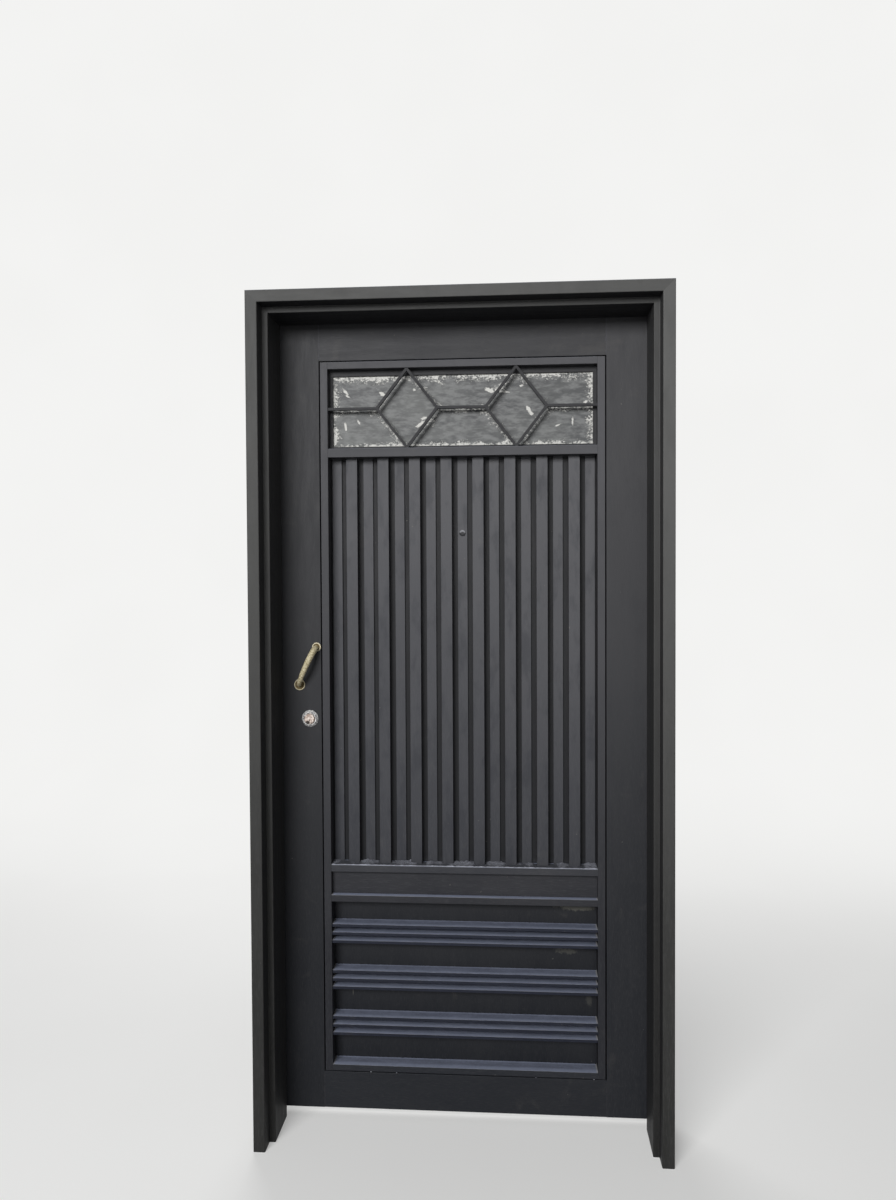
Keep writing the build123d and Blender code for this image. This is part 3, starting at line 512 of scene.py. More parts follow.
def paper_finish(floor_colour):
    """Pale paper that throws a grey light on the door and glows whiter with the distance from it."""
    paper = Finish("studio_paper")
    seen = paper.seen()
    mottled = paper.noise(1.4, 2.0, 0.5).between(0.3, 0.7)
    pale = paper.mixed(mottled * 0.04, (*floor_colour, 1.0), rgb(206, 204, 200))
    ways = (paper.axis("Y"), 0.0 - paper.axis("Y"), abs(paper.axis("X")))
    room, street, aside = (way.between(*fade) for way, fade in zip(ways, FADES))
    lit = seen * (room.larger(street).larger(aside) * 0.65 + 0.35)
    colour = paper.mixed(lit, paper.mixed(seen, rgb(128, 128, 128), pale), BLACK)
    glow = paper.mixed(lit, BLACK, pale)
    return paper.set(colour=colour, roughness=0.9, specular=0.0, glow=glow, glow_strength=1.0)


def cyclorama(floor_colour):
    """Floor and backdrop: a profile of a straight run, a quarter turn and a wall, carried along X."""
    turn = np.linspace(0.0, math.pi / 2, 25)
    y = BACKDROP - BACKDROP_TURN + BACKDROP_TURN * np.sin(turn)
    z = BACKDROP_TURN - BACKDROP_TURN * np.cos(turn)
    y = np.concatenate([[FLOOR_START], y, [BACKDROP]])
    z = np.concatenate([[0.0], z, [BACKDROP_TOP]]) - FLOOR_DROP
    x = np.linspace(-FLOOR_HALF, FLOOR_HALF, 3)
    points = np.stack(np.broadcast_arrays(x[None, :], y[:, None], z[:, None]), -1)
    shape = points, grid_faces(len(y), len(x)).tolist()
    floor = mesh_piece("studio_floor", shape, paper_finish(floor_colour))


def placed(right, up, back, place):
    """The matrix of a lamp or camera from its three axes and its place."""
    matrix = np.eye(4)
    matrix[:3] = np.stack([right, up, back, place], axis=1)
    return Matrix(matrix.tolist())


def lamp(name, power, size, place, target):
    """A rectangular area lamp that looks at a point."""
    data = bpy.data.lights.new(name, "AREA")
    data.shape = "RECTANGLE"
    data.size, data.size_y = size
    data.energy = power
    away = np.array(place) - np.array(target)
    away = away / np.linalg.norm(away)
    side = np.cross((0.0, 0.0, 1.0), away)
    side = side / np.linalg.norm(side)
    source = bpy.data.objects.new(name, data)
    source.matrix_world = placed(side, np.cross(away, side), away, place)
    source.visible_camera = False
    bpy.context.scene.collection.objects.link(source)


def sky(strength):
    """An even sky that the camera, gloss and glass see as white."""
    world = bpy.data.worlds.new("even_sky")
    world.use_nodes = True
    nodes = Nodes(world.node_tree)
    soft = nodes.add("ShaderNodeBackground", {}, {"Color": SKY_LIGHT, "Strength": strength})
    pale = nodes.add("ShaderNodeBackground", {}, {"Color": SKY_SEEN, "Strength": 1.0})
    blend = nodes.add("ShaderNodeMixShader", {}, {0: nodes.seen(), 1: soft, 2: pale})
    nodes.add("ShaderNodeOutputWorld", {}, {0: blend})
    bpy.context.scene.world = world


def street_camera():
    """The camera stands on the street, a little right of the middle, turned slightly left and down."""
    turn = Matrix.Rotation(CAMERA_YAW, 3, "Z") @ Matrix.Rotation(CAMERA_PITCH, 3, "X")
    turn = turn @ Matrix.Rotation(CAMERA_ROLL, 3, "Y")
    data = bpy.data.cameras.new("street_camera")
    data.sensor_fit = "AUTO"
    data.sensor_width = SENSOR
    data.lens = FOCAL_SHARE * SENSOR
    data.clip_start, data.clip_end = 0.05, 60.0
    camera = bpy.data.objects.new("street_camera", data)
    camera.matrix_world = placed(turn.col[0], turn.col[2], -turn.col[1], CAMERA_PLACE)
    bpy.context.scene.collection.objects.link(camera)
    bpy.context.scene.camera = camera


class DoorStage(bpy.types.Operator):
    """Make the floor, the backdrop, the lamps, the sky and the camera"""

    bl_idname = "door.stage"
    bl_label = "Stage"

    def execute(self, context):
        settings = context.scene.door_stage
        cyclorama(settings.floor_colour)
        for name, power, size, place, target in LAMPS:
            lamp(name, getattr(settings, power), size, place, target)
        sky(settings.sky)
        street_camera()
        context.scene.view_settings.view_transform = "Standard"
        return {"FINISHED"}


# Paint and metal on the CAD pieces

RAILS = ["top_rail", "bottom_rail"] + [f"hinge_socket_{i}" for i in range(1, 4)]
BATTENS = ["flat_strips"] + [f"batten_{i}" for i in range(1, 9)]
UPRIGHT_BARS = ["insert_left_bar", "insert_right_bar"]
LYING_BARS = ["insert_top_bar", "transom_bar", "lower_crossbar", "recessed_panel"]
RIBS = [f"rib_group_{i}" for i in range(1, 4)]
GRILLES = ["glazing_stops", "glazing_beads", "left_diamond", "right_diamond", "window_bars"]
HINGE_SIDE = ["right_jamb"] + [f"hinge_pintle_{i}" for i in range(1, 4)]
ENAMELLED = ["lock_case", "lock_cover", "lock_keeper"]
ZINC_PLATED = ["left_tie_straps", "right_tie_straps", "keeper_screws", "lock_screws", "handle_studs",
               "bolt_carriage", "bolts", "drive_pinion"]

# Pale patches of the back sheet under the ribs: x, z, reach along x, reach along z, strength
RIB_FEET = [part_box(node)[0].z for node in RIBS]
WORN = (
    (0.292, LOWER_BAR[0].z - 0.016, 0.110, 0.018, 0.6),
    (0.262, RIB_FEET[0] - 0.022, 0.060, 0.016, 0.3),
    (0.318, RIB_FEET[1] - 0.030, 0.016, 0.028, 0.2),
    (-0.29, RIB_FEET[1] - 0.022, 0.003, 0.024, 0.4),
)
# A bluish tint of the ribs: painted reflection of the sky
PAINTED_SKY_TINT = (0.6, 0.68, 0.95)
# Nodes, finish, axis of its streaks, tones, shades of the fresh and the faded tone, other settings
COATS = (
    # The lock stile and the left jamb are shaded darker and the right jamb lighter, as painted shade and
    # painted light
    (["lock_stile"], "lock_stile_paint", "Z", "leaf", (0.78, 0.78), {}),
    (["hinge_stile"], "hinge_stile_paint", "Z", "leaf", (1.0, 1.0), {}),
    (RAILS, "rail_paint", "X", "leaf", (1.0, 0.84), {"edges": 0.0, "ledges": 0.0}),
    (BATTENS, "batten_paint", "Z", "batten", (1.0, 1.0), {"blotchy": 0.4}),
    (UPRIGHT_BARS, "insert_paint_upright", "Z", "insert", (1.0, 1.0), {}),
    (LYING_BARS, "insert_paint_lying", "X", "insert", (1.0, 1.0), {}),
    (["upper_crossbar"], "crossbar_paint", "X", "batten", (0.9, 0.9), {}),
    (["insert_bottom_bar"], "insert_paint_foot", "X", "leaf", (1.25, 1.25), {"edges": 0.5}),
    (RIBS, "rib_paint", "X", "insert", (PAINTED_SKY_TINT, PAINTED_SKY_TINT), {"edges": 0.9}),
    (GRILLES, "grille_paint", "X", "insert", (0.4, 0.4), {"edges": 0.2, "ledges": 0.4}),
    (["back_sheet"], "back_sheet_paint", "Z", "leaf", (0.8, 0.8),
     {"shaded_above": UPPER_BAR[1].z, "patches": WORN}),
    (["left_jamb"], "left_jamb_paint", "Z", "frame", (0.8, 0.8), {"side_shade": 0.66}),
    (HINGE_SIDE, "right_jamb_paint", "Z", "frame", (1.06, 1.06), {"step_shade": 0.4}),
    (["head_jamb"], "head_jamb_paint", "X", "frame", (0.84, 0.84), {"side_shade": 0.96, "step_shade": 0.35}),
)


def viewer_finish():
    """Dark viewer ring, lit on its upper half along a slightly uneven line."""
    viewer = Finish("viewer_brass")
    low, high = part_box("peephole_barrel")
    uneven = (viewer.noise(300.0) - 0.5) * 0.004
    lit = (viewer.axis("Z") - (low.z + high.z) / 2 + uneven).between(-0.002, 0.005)
    colour = viewer.mixed(lit, rgb(24, 25, 28), rgb(128, 129, 133))
    return viewer.set(colour=colour, roughness=0.5, metallic=0.2, specular=0.2)


def lens_finish():
    """Nearly black lens with a faint mottle."""
    lens = Finish("viewer_lens")
    colour = lens.mixed(lens.noise(300.0), rgb(20, 20, 24), rgb(34, 34, 40))
    return lens.set(colour=colour, roughness=0.06, specular=0.8)


class DoorPaint(bpy.types.Operator):
    """Paint the frame, the leaf and the lock, and finish the bare metal"""

    bl_idname = "door.paint"
    bl_label = "Paint and metal"

    def execute(self, context):
        tones = context.scene.door_paint
        for nodes, name, along, group, shades, more in COATS:
            plain = [np.array(getattr(tones, f"{group}_{state}")) for state in ("fresh", "faded")]
            fresh, faded = ((*(colour * shade).tolist(), 1.0) for colour, shade in zip(plain, shades))
            repaint(nodes, steel_paint(name, along, fresh, faded, **more))
        repaint(ENAMELLED, steel_paint("lock_enamel", "Z", rgb(26, 26, 27), rgb(52, 52, 54)))
        repaint(ZINC_PLATED, bare_metal("zinc_plate", rgb(176, 177, 180), rgb(120, 118, 114), 0.38))
        repaint(["thumb_turn"], bare_metal("lock_nickel", rgb(200, 190, 184), rgb(140, 130, 124), 0.32))
        repaint(["peephole_barrel"], viewer_finish())
        repaint(["peephole_lens"], lens_finish())
        return {"FINISHED"}


# Window

PANE_MIDDLE = (GLASS_LOW.z + GLASS_HIGH.z) / 2
PANE_ROWS, PANE_COLUMNS = 88, 300
STOP_SIDE = GLASS_HIGH.x + 0.0025 - 0.009
STOP_TOP = GLASS_HIGH.z - 0.0115
STOP_FOOT = GLASS_LOW.z + 0.0045
DIAMOND_LOW, DIAMOND_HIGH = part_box("right_diamond")
DIAMOND_X = (DIAMOND_LOW.x + DIAMOND_HIGH.x) / 2
DIAMOND_HALF = (DIAMOND_HIGH.x - DIAMOND_LOW.x) / 2
DIAMOND_TALL = (GLASS_HIGH.z - GLASS_LOW.z) / 2 + 0.0065
GRILLE_HALF = 0.003
# Blots of putty: x, height over the pane's middle, length, width, turn in degrees
SPLASHES = (
    (-0.096, -0.022, 0.007, 0.004, 20), (-0.105, -0.037, 0.012, 0.004, 35),
    (0.168, -0.004, 0.009, 0.0045, -60), (0.174, -0.014, 0.006, 0.004, -40),
    (-0.200, 0.040, 0.010, 0.0045, -30), (-0.193, 0.031, 0.006, 0.004, 60),
    (0.070, 0.045, 0.012, 0.005, -20), (0.082, 0.033, 0.010, 0.004, 55),
    (0.106, 0.041, 0.012, 0.0025, -8), (-0.296, 0.048, 0.010, 0.003, -50),
    (-0.290, 0.036, 0.007, 0.002, -30), (0.277, -0.036, 0.002, 0.011, 0),
    (0.310, 0.012, 0.006, 0.003, 20), (-0.120, 0.050, 0.004, 0.003, 0),
    (-0.296, -0.040, 0.003, 0.012, 10), (-0.262, -0.030, 0.002, 0.008, 30),
    (0.150, 0.055, 0.004, 0.003, 30), (0.240, -0.045, 0.008, 0.002, 20),
)
SPLASH_LONGER, SPLASH_WIDER = 1.3, 1.2


def putty(x, z, stops_only=False):
    """How near each point of the pane is to a puttied edge: for the stops, the diamonds' sides and the middle
    bar, one less the distance over that edge's reach, times its strength, of which the largest counts."""
    reach = bpy.context.scene.door_window.smear_width
    steepness = math.hypot(1 / DIAMOND_HALF, 1 / DIAMOND_TALL)
    outside, sides = np.ones_like(x), np.ones_like(x)
    for side in (-1, 1):
        share = abs(x - side * DIAMOND_X) / DIAMOND_HALF + abs(z - PANE_MIDDLE) / DIAMOND_TALL
        sides = np.minimum(sides, abs(share - 1) / steepness - GRILLE_HALF)
        outside = np.minimum(outside, share > 1)
    bar = np.where(outside > 0, abs(z - PANE_MIDDLE) - GRILLE_HALF, 1.0)
    below = z < PANE_MIDDLE
    # Distance, reach in smear widths, strength
    edges = [
        (STOP_SIDE - abs(x), 2.2, 1.1),
        (STOP_TOP - z, 2.0, 1.0),
        (z - STOP_FOOT, 1.2, 1.15),
        (sides, 1.1, 0.62),
        (bar, np.where(below, 1.2, 0.5), np.where(below, 0.8, 0.45)),
    ]
    edges = edges[:3] if stops_only else edges
    near = [
        (1.0 - np.clip(distance, 0.0, None) / (wide * reach)) * strength
        for distance, wide, strength in edges
    ]
    return np.clip(np.max(near, axis=0), -1.0, 1.0)


def splashes(x, z):
    """Blots of putty: at each point of the pane the largest of some stretched and turned Gaussians."""
    blots = np.zeros_like(x)
    for across, up, length, width, degrees in SPLASHES:
        turn = math.radians(degrees)
        right, over = x - across, z - PANE_MIDDLE - up
        u = right * math.cos(turn) + over * math.sin(turn)
        v = over * math.cos(turn) - right * math.sin(turn)
        blot = np.exp(-((u / length / SPLASH_LONGER) ** 2) - (v / width / SPLASH_WIDER) ** 2)
        blots = np.maximum(blots, blot)
    return blots


def glass_finish():
    """Hammered grey glass in lighter and darker bands, those that follow the ripple of the relief being its
    painted light and shade, with pale putty near the bars.
    """
    pane = Finish("hammered_glass")
    ripple = pane.noise(70.0, 4.0, 0.6, pane.scaled((0.55, 1.0, 1.5)))
    drift = pane.noise(9.0, 3.0, 0.55, pane.scaled((0.6, 1.0, 1.4)))
    # Bands that follow the relief's ripple: painted light and shade of the hammered glass
    colour = pane.mixed(ripple.between(0.36, 0.66), rgb(84, 85, 86), rgb(124, 125, 125))
    colour = pane.mixed(drift.between(0.35, 0.7) * 0.35, colour, rgb(128, 130, 127))
    near = pane.attribute("putty")
    torn = pane.noise(230.0, 5.0, 0.75, pane.scaled((0.9, 1.0, 1.1)))
    broad = pane.noise(26.0, 3.0, 0.6, pane.scaled((1.0, 1.0, 1.3), (5.0, 0.0, 1.0)))
    smear = (near * 0.74 + (torn - 0.5) * 3.0 + (broad - 0.5) * 1.5).between(0.48, 0.66)
    blot = (pane.attribute("splash") + (torn - 0.5) * 1.6).between(0.42, 0.6)
    pale = smear.larger(blot)
    colour = pane.mixed(pale * 0.92, colour, rgb(222, 221, 216))
    roughness = ripple * 0.15 + pale * 0.25 + 0.42
    surface = pane.bump(ripple, 0.0012, 0.8)
    surface = pane.bump(pale, 0.0006, 0.8, surface)
    return pane.set(colour=colour, roughness=roughness, specular=0.2, normal=surface)


class DoorWindow(bpy.types.Operator):
    """Make the hammered pane with its putty smears"""

    bl_idname = "door.window"
    bl_label = "Window pane"

    def execute(self, context):
        relief = context.scene.door_window.relief
        x = np.linspace(GLASS_LOW.x, GLASS_HIGH.x, PANE_COLUMNS)[None, :]
        z = np.linspace(GLASS_LOW.z, GLASS_HIGH.z, PANE_ROWS)[:, None]
        x, z = np.broadcast_arrays(x, z)
        fine = smooth_field(PANE_ROWS, PANE_COLUMNS, (0.9, 1.7), 11)
        coarse = smooth_field(PANE_ROWS, PANE_COLUMNS, (2.2, 4.0), 12)
        front = GLASS_LOW.y + relief * (0.5 + 0.5 * np.tanh(fine * 0.5 + coarse * 0.5))
        back = np.full_like(front, GLASS_HIGH.y)
        shape = slab(np.stack([x, front, z], -1), np.stack([x, back, z], -1))
        street_side = {"putty": putty(x, z), "splash": splashes(x, z)}
        room_side = {"putty": putty(x, z, stops_only=True), "splash": np.zeros_like(x)}
        values = {key: np.stack([street_side[key], room_side[key]]) for key in street_side}
        surface_piece("hammered_pane", shape, glass_finish(), "leaf", "window_glass", values)
        return {"FINISHED"}


# Welds

BEAD_WIDTH, BEAD_HEIGHT, BEAD_PROUD, BEAD_INSET = 0.0018, 0.00055, 0.0004, 0.001
BEAD_SEED = 31
# Drops of weld along the insert's foot: x and size
DROPS = ((-0.238, 0.0030), (-0.172, 0.0024), (0.181, 0.0018), (0.326, 0.0024))
DROP_PROUD, DROP_OVER = 0.0002, 0.0002


def bead(start, end, width, height, seed):
    """A ground weld bead: a flattened ring carried from start to end, wavering in height and width."""
    steps, around = 90, 12
    start, end = np.array(start), np.array(end)
    share = np.linspace(0.0, 1.0, steps)[:, None, None]
    angle = np.linspace(0.0, 2 * math.pi, around, endpoint=False)[None, :, None]
    waver = smooth_field(1, steps, (0.0, 1.6), seed).reshape(-1, 1, 1)
    ends = np.sqrt(np.clip(np.minimum(share, 1 - share) * 12, 0.04, 1.0))
    ahead = (end - start) / np.linalg.norm(end - start)
    out = np.array([0.0, -1.0, 0.0])
    side = np.cross(out, ahead)
    wide = side * np.cos(angle) * width * (1 + 0.12 * waver) * ends
    high = out * np.sin(angle) * height * (1 + 0.18 * waver) * ends
    return capped(start + (end - start) * share - wide + high)


class DoorWelds(bpy.types.Operator):
    """Make the ground welds between stiles and rails, and the drops left beside them"""

    bl_idname = "door.welds"
    bl_label = "Welds"

    def execute(self, context):
        shapes = []
        for number, rail in enumerate(("top_rail", "bottom_rail")):
            low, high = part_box(rail)
            for side in (-1, 1):
                for face, out in ((LEAF_FRONT, 1), (LEAF_BACK, -1)):
                    x, y = side * RAIL_INNER, face + out * BEAD_PROUD
                    start, end = (x, y, low.z + BEAD_INSET), (x, y, high.z - BEAD_INSET)
                    seed = BEAD_SEED + number * 4 + side + out
                    shapes.append(bead(start, end, BEAD_WIDTH, BEAD_HEIGHT, seed))
        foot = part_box("insert_bottom_bar")[0].z
        for x, size in DROPS:
            profile = [(size * math.cos(a), size * 0.7 * math.sin(a)) for a in np.linspace(0.0, 1.45, 8)]
            shapes.append(turned(profile, (x, LEAF_FRONT - DROP_PROUD, foot + DROP_OVER), -1, 20))
        paint = steel_paint("weld_paint", "Z", rgb(38, 38, 42), rgb(72, 72, 76))
        surface_piece("ground_welds", joined(shapes), paint, "leaf")
        return {"FINISHED"}


# Handle

TOP_CUP, BOTTOM_CUP = 0.0114, 0.0143
# The bow starts a little left of the upper cup's middle and below it
BOW_SHIFT = np.array([0.001, 0.0, 0.0022])
# Each ring of a cup: distance inside the outer radius, height, darkness of the hollow, strength of the
# painted highlight on the rim
CUP_RINGS = (
    (0.0, 0.0, 0.0, 0.0),
    (0.0, 0.0012, 0.0, 0.1),
    (0.0004, 0.0022, 0.0, 0.6),
    (0.0011, 0.0028, 0.0, 1.0),
    (0.0018, 0.0030, 0.0, 1.0),
    (0.0025, 0.0027, 0.3, 0.6),
    (0.0031, 0.0020, 0.8, 0.0),
    (0.0038, 0.0013, 1.0, 0.0),
    (0.0050, 0.0010, 1.0, 0.0),
)
CUP_FLOOR = (0.002, 0.0009)
CUP_AROUND = 64


def brass_finish():
    """Worn brass with an olive tinge: stained patches, fine scratches, darker hollows and a painted highlight
    on the rims of the cups.
    """
    brass = Finish("worn_brass")
    stain = brass.noise(240.0, 4.0, 0.62).between(0.4, 0.62)
    scratches = brass.noise(900.0, 2.0, 0.5, brass.scaled((1.0, 1.0, 0.2)))
    colour = brass.mixed(stain, rgb(208, 198, 168), rgb(158, 146, 112))
    # Painted highlight on the rims of the cups
    colour = brass.mixed(brass.attribute("rim"), colour, rgb(238, 228, 200))
    colour = brass.mixed(brass.attribute("hollow") * 0.85, colour, rgb(84, 66, 26))
    rough = stain * 0.12 + scratches.between(0.3, 0.8) * 0.08 + 0.62
    surface = brass.bump(scratches, 0.00012, 0.4)
    return brass.set(colour=colour, roughness=rough, metallic=0.1, specular=0.2, normal=surface)


def bow_rings(top, bottom, settings, around=48):
    """Rings of the bow: its middle line runs out of the upper cup, turns through an elbow, a shallow crown
    and an elbow, and runs into the lower cup, while the radius falls from the upper to the lower end and is
    less in the neck at each cup."""
    lean, right = math.radians(30.0), math.pi / 2
    start, root, crown_radius = 0.003, 0.0022, 0.0068
    run = bottom - top
    length = np.linalg.norm(run)
    height = LEAF_FRONT - start - BOW_LOW.y - crown_radius
    elbow = height - (1 - math.cos(lean)) * length / (2 * math.sin(lean))
    elbow /= math.cos(lean) - (1 - math.cos(lean)) * (1 - math.sin(lean)) / math.sin(lean)
    crown = (length - 2 * elbow * (1 - math.sin(lean))) / (2 * math.sin(lean))
    into, over = np.linspace(right, lean, 22), np.linspace(lean, -lean, 70)
    heading = np.concatenate([into, over[1:], np.linspace(-lean, -right, 22)[1:]])
    bend = np.concatenate([np.full(21, elbow), np.full(69, crown), np.full(21, elbow)])
    along = np.concatenate([[0.0], np.cumsum(bend * -np.diff(np.sin(heading)))])
    out = np.concatenate([[0.0], np.cumsum(bend * np.diff(np.cos(heading)))])
    along = np.concatenate([[0.0], along, [along[-1]]])
    out = np.concatenate([[-root], out, [-root]]) + start
    heading = np.concatenate([[right], heading, [-right]])
    share = np.clip(along / length, 0.0, 1.0)
    radius = settings.top_radius + (settings.bottom_radius - settings.top_radius) * share**1.2
    swell = 1.0 + 0.05 * np.sin(math.pi * share)
    neck = 1.0 - 0.25 * np.exp(-((out / 0.007) ** 2))
    radius = radius * swell * neck
    ahead, street = run / length, np.array([0.0, -1.0, 0.0])
    middle = top + along[:, None] * ahead + out[:, None] * street
    lift = -np.sin(heading)[:, None] * ahead + np.cos(heading)[:, None] * street
    side = np.cross(ahead, street)
    angle = np.linspace(0.0, 2 * math.pi, around, endpoint=False)[None, :, None]
    ring = np.cos(angle) * lift[:, None, :] + np.sin(angle) * side
    return middle[:, None, :] + radius[:, None, None] * ring


class DoorHandle(bpy.types.Operator):
    """Make the tapering bow and the two cup rosettes"""

    bl_idname = "door.handle"
    bl_label = "Handle"

    def execute(self, context):
        settings = context.scene.door_handle
        brass = brass_finish()
        top = np.array([ROSETTE_HIGH.x - TOP_CUP, LEAF_FRONT, ROSETTE_HIGH.z - TOP_CUP])
        bottom = np.array([ROSETTE_LOW.x + BOTTOM_CUP, LEAF_FRONT, ROSETTE_LOW.z + BOTTOM_CUP])
        rings = bow_rings(top - BOW_SHIFT, bottom, settings)
        plain = np.zeros(rings.shape[0] * rings.shape[1] + 2)
        surface_piece("handle_bow_arc", capped(rings), brass, "leaf", "handle_bow",
                      {"hollow": plain, "rim": plain})
        inset, heights, hollows, rims = zip(*CUP_RINGS)
        shapes, shade, light = [], [], []
        # The upper cup's painted highlight is the brighter one
        for centre, radius, bright in ((top, TOP_CUP, 0.9), (bottom, BOTTOM_CUP, 0.5)):
            profile = [(radius - inside, height) for inside, height in zip(inset, heights)] + [CUP_FLOOR]
            shapes.append(turned(profile, centre, -1, CUP_AROUND))
            # After the rings come the floor's ring and the poles of the first and the last ring
            shade.append(np.concatenate([np.repeat(hollows + (1.0,), CUP_AROUND), [0.0, 1.0]]))
            light.append(np.concatenate([np.repeat(rims + (0.0,), CUP_AROUND), [0.0, 0.0]]) * bright)
        surface_piece("cup_rosettes", joined(shapes), brass, "leaf", "handle_rosettes",
                      {"hollow": np.concatenate(shade), "rim": np.concatenate(light)})
        return {"FINISHED"}


# Lock cylinder

LOCK_CENTRE = ((RING_LOW.x + RING_HIGH.x) / 2, LEAF_FRONT, (RING_LOW.z + RING_HIGH.z) / 2)
# Radius and height of each ring of the cone
CONE = (
    (0.0212, 0.0), (0.0212, 0.0016), (0.0209, 0.0022), (0.0203, 0.0026), (0.0176, 0.0066),
    (0.0168, 0.0076), (0.0160, 0.0080), (0.0152, 0.0079), (0.0146, 0.0072), (0.0140, 0.0060),
    (0.0131, 0.0058), (0.0131, 0.0056),
)
FACE_RADIUS, FACE_EDGE = 0.0131, 0.0112
# Middle and reach of the painted shade of the keyway, across and up
KEYWAY_SHADE_X, KEYWAY_SHADE_Z = LOCK_CENTRE[0] - 0.0040, LOCK_CENTRE[2] - 0.0086
KEYWAY_SHADE_WIDE, KEYWAY_SHADE_TALL = 0.0052, 0.0040


def cone_finish():
    """Worn light metal, mottled in dark and bright specks, with duller patches."""
    ring = Finish("mottled_ring")
    mottle = ring.noise(230.0, 4.0, 0.68).between(0.4, 0.6)
    patch = ring.noise(95.0, 3.0, 0.6).between(0.4, 0.66)
    colour = ring.mixed(mottle, rgb(112, 112, 116), rgb(246, 245, 243))
    colour = ring.mixed(patch * 0.3, colour, rgb(168, 166, 164))
    surface = ring.bump(mottle, 0.0002, 0.6)
    return ring.set(colour=colour, roughness=mottle * 0.15 + 0.42, metallic=0.3, normal=surface)


def face_finish():
    """Pale worn metal with reddish flecks and blotches, darker towards its edge, and a dark spot of painted
    shade where the keyway opens.
    """
    face = Finish("grimy_face")
    across, up = face.axis("X"), face.axis("Z")
    side, down = abs(across - KEYWAY_SHADE_X) / KEYWAY_SHADE_WIDE, abs(up - KEYWAY_SHADE_Z) / KEYWAY_SHADE_TALL
    keyway_shade = 1.0 - (side * side + down * down).between(0.5, 1.7)
    round_edge = (across - LOCK_CENTRE[0]) ** 2.0 + (up - LOCK_CENTRE[2]) ** 2.0
    fleck = face.noise(260.0, 3.0, 0.6).between(0.4, 0.66)
    blotch = face.noise(120.0, 3.0, 0.6).between(0.46, 0.62)
    colour = face.mixed(fleck, rgb(236, 224, 215), rgb(170, 148, 136))
    colour = face.mixed(blotch * 0.5, colour, rgb(134, 108, 94))
    colour = face.mixed(round_edge.between(FACE_EDGE**2, FACE_RADIUS**2) * 0.5, colour, rgb(92, 74, 62))
    # Painted shade of the keyway
    colour = face.mixed(keyway_shade * 0.92, colour, rgb(30, 22, 18))
    rough, surface = fleck * 0.15 + keyway_shade * 0.3 + 0.5, face.bump(fleck, 0.0001, 0.5)
    return face.set(colour=colour, roughness=rough, metallic=0.15, specular=0.25, normal=surface)


class DoorLock(bpy.types.Operator):
    """Make the worn conical ring, and finish the face of plug and body with a painted shade of the keyway
    below the slot
    """

    bl_idname = "door.lock"
    bl_label = "Lock cylinder"

    def execute(self, context):
        cone = turned(CONE, LOCK_CENTRE, -1, 96)
        surface_piece("lock_ring", cone, cone_finish(), "leaf", "cylinder_ring")
        repaint(["key_plug", "cylinder_body"], face_finish())
        return {"FINISHED"}


# Dust

DUST_ROWS, DUST_COLUMNS = 30, 640
RIDGE = 0.0011
# Gaps to the crossbar's ends and front, depth in the crossbar and in the strips, and least height
DUST_ENDS, DUST_FRONT, DUST_SUNK, DUST_INTO, DUST_OVER = 0.001, 0.0012, 0.0003, 0.001, 0.00005
STRIP_WIDTH, STRIP_GAPS = 0.024, 8


def dust_heights(share, phase, heap, seed):
    """Height of the dust: it rises from the crossbar's front to the strips, in one pile for each strip with
    an uneven outline, torn all over, and has a low ridge along the front."""
    uneven = smooth_field(1, DUST_COLUMNS, (0.0, 7.0), seed)
    torn = smooth_field(DUST_ROWS, DUST_COLUMNS, (1.5, 2.0), seed + 1)
    piles = np.clip(0.7 + 0.45 * phase + 0.35 * uneven, 0.0, 1.4)
    ridge = RIDGE * np.exp(-((share - 0.07) / 0.07) ** 2) * np.clip(0.9 + 0.35 * torn, 0.0, 1.6)
    height = heap * piles * share**0.9 * (1 + 0.22 * torn) + ridge
    return np.clip(height - DUST_SUNK, 0.0, None) * np.clip(share / 0.03, 0.0, 1.0)


def dust_finish(ledge):
    """Grey dust with grit and lumps, darker where it lies thin, and bluish white along its front: pale dust
    with a painted skylight highlight.
    """
    dust = Finish("ledge_dust")
    grit = dust.noise(420.0, 5.0, 0.72)
    lumps = dust.noise(60.0, 3.0, 0.6)
    colour = dust.mixed(grit.between(0.35, 0.68), rgb(92, 94, 102), rgb(156, 158, 166))
    colour = dust.mixed(lumps.between(0.45, 0.7) * 0.4, colour, rgb(86, 88, 96))
    thin = 1.0 - (dust.axis("Z") - ledge).between(0.0002, 0.0014)
    colour = dust.mixed(thin * 0.85, colour, rgb(66, 67, 72))
    # Along the front: pale dust with a painted skylight highlight
    front = 1.0 - dust.axis("Y").between(LEAF_FRONT + 0.005, LEAF_FRONT + 0.008)
    colour = dust.mixed(front * (grit.between(0.3, 0.5) * 0.5 + 0.5), colour, rgb(184, 187, 199))
    surface = dust.bump(grit, 0.0015, 0.9)
    return dust.set(colour=colour, roughness=grit * 0.1 + 0.85, specular=0.1, normal=surface)


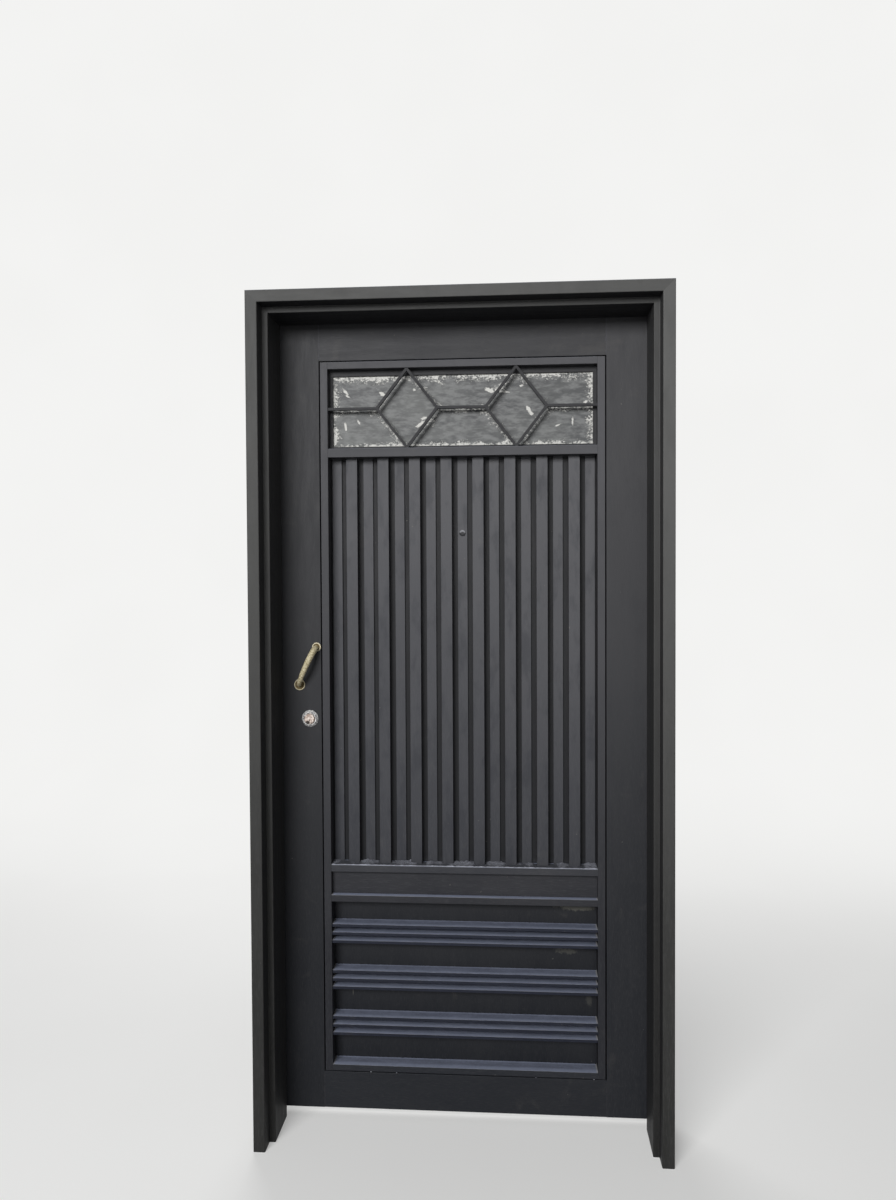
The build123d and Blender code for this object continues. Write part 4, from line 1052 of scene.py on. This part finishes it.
class DoorDust(bpy.types.Operator):
    """Heap dust on the upper crossbar against the flat strips"""

    bl_idname = "door.dust"
    bl_label = "Dust"

    def execute(self, context):
        settings = context.scene.door_dust
        low, high = UPPER_BAR
        x = np.linspace(low.x + DUST_ENDS, high.x - DUST_ENDS, DUST_COLUMNS)[None, :]
        y = np.linspace(LEAF_FRONT + DUST_FRONT, STRIPS_LOW.y + DUST_INTO, DUST_ROWS)[:, None]
        pitch = (STRIPS_HIGH.x - STRIPS_LOW.x - STRIP_WIDTH) / STRIP_GAPS
        share, phase = (y - y[0]) / (y[-1] - y[0]), np.cos(2 * math.pi * x / pitch)
        height = dust_heights(share, phase, settings.heap, settings.seed)
        x, y, height = np.broadcast_arrays(x, y, height)
        top = np.stack([x, y, high.z + height + DUST_OVER], -1)
        base = np.stack([x, y, np.full_like(x, high.z - DUST_SUNK)], -1)
        surface_piece("ledge_dust", slab(top, base), dust_finish(high.z), "leaf")
        return {"FINISHED"}


# Screws on the room side

SCREW_RADIUS, SCREW_HEAD = 0.0045, 0.0025


def screw_head(centre, radius, head, rings=26, around=72):
    """A domed head: rings about Y whose height falls with the fourth power of the radius, less a slot's depth
    where the point lies within either arm of the cross."""
    share = np.sin(np.linspace(math.pi / 2, 0.02, rings))[:, None]
    angle = np.linspace(0.0, 2 * math.pi, around, endpoint=False)[None, :]
    across, up = share * np.cos(angle), share * np.sin(angle)
    height = head * (1.0 - 0.55 * share**4)
    arm = np.minimum(abs(across), abs(up)) < 0.12
    slot = np.where(arm & (share < 0.62), head * 0.45, 0.0)
    rows = np.concatenate([np.zeros((1, around)), height - slot])
    wide = np.concatenate([np.ones((1, 1)), share])
    x = centre[0] + radius * wide * np.cos(angle)
    z = centre[2] - radius * wide * np.sin(angle)
    return capped(np.stack([x, centre[1] + rows, z], -1))


class DoorScrews(bpy.types.Operator):
    """Make the domed heads with crossed slots of the screws in keeper and lock"""

    bl_idname = "door.screws"
    bl_label = "Screw heads"

    def execute(self, context):
        zinc = bare_metal("screw_zinc", rgb(178, 179, 182), rgb(118, 116, 112), 0.34)
        for node, body in (("keeper_screws", "frame"), ("lock_screws", "leaf")):
            low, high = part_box(node)
            xs = sorted({round(low.x + SCREW_RADIUS, 6), round(high.x - SCREW_RADIUS, 6)})
            zs = (low.z + SCREW_RADIUS, high.z - SCREW_RADIUS)
            centres = [(x, high.y - SCREW_HEAD, z) for x in xs for z in zs]
            shapes = [screw_head(centre, SCREW_RADIUS, SCREW_HEAD) for centre in centres]
            surface_piece(node + "_crossed", joined(shapes), zinc, body, node)
        return {"FINISHED"}


# Panel and start


class DoorPanel(bpy.types.Panel):
    """Shows the door's settings and the buttons that make its pieces"""

    bl_idname = "VIEW3D_PT_door"
    bl_label = "Panelled Front Door"
    bl_space_type = "VIEW_3D"
    bl_region_type = "UI"
    bl_category = "Door"

    def draw(self, context):
        layout = self.layout
        for group, _ in GROUPS:
            settings = getattr(context.scene, group)
            for key in settings.bl_rna.properties.keys():
                if key not in ("rna_type", "name"):
                    layout.prop(settings, key)
        for operator in OPERATORS:
            layout.operator(operator.bl_idname)


OPERATORS = (DoorStage, DoorPaint, DoorWindow, DoorWelds, DoorHandle, DoorLock, DoorDust, DoorScrews)
GROUPS = (
    ("door_stage", DoorStageSettings),
    ("door_paint", DoorPaintSettings),
    ("door_window", DoorWindowSettings),
    ("door_handle", DoorHandleSettings),
    ("door_dust", DoorDustSettings),
)


def register():
    for name, group in GROUPS:
        bpy.utils.register_class(group)
        setattr(bpy.types.Scene, name, PointerProperty(type=group))
    for cls in OPERATORS + (DoorPanel,):
        bpy.utils.register_class(cls)


def unregister():
    for cls in (DoorPanel,) + OPERATORS[::-1]:
        bpy.utils.unregister_class(cls)
    for name, group in GROUPS:
        delattr(bpy.types.Scene, name)
        bpy.utils.unregister_class(group)


def build_door():
    """Makes every piece in order."""
    register()
    for operator in OPERATORS:
        group, name = operator.bl_idname.split(".")
        getattr(getattr(bpy.ops, group), name)()
    bpy.context.view_layer.update()


if __name__ == "__main__":
    build_door()
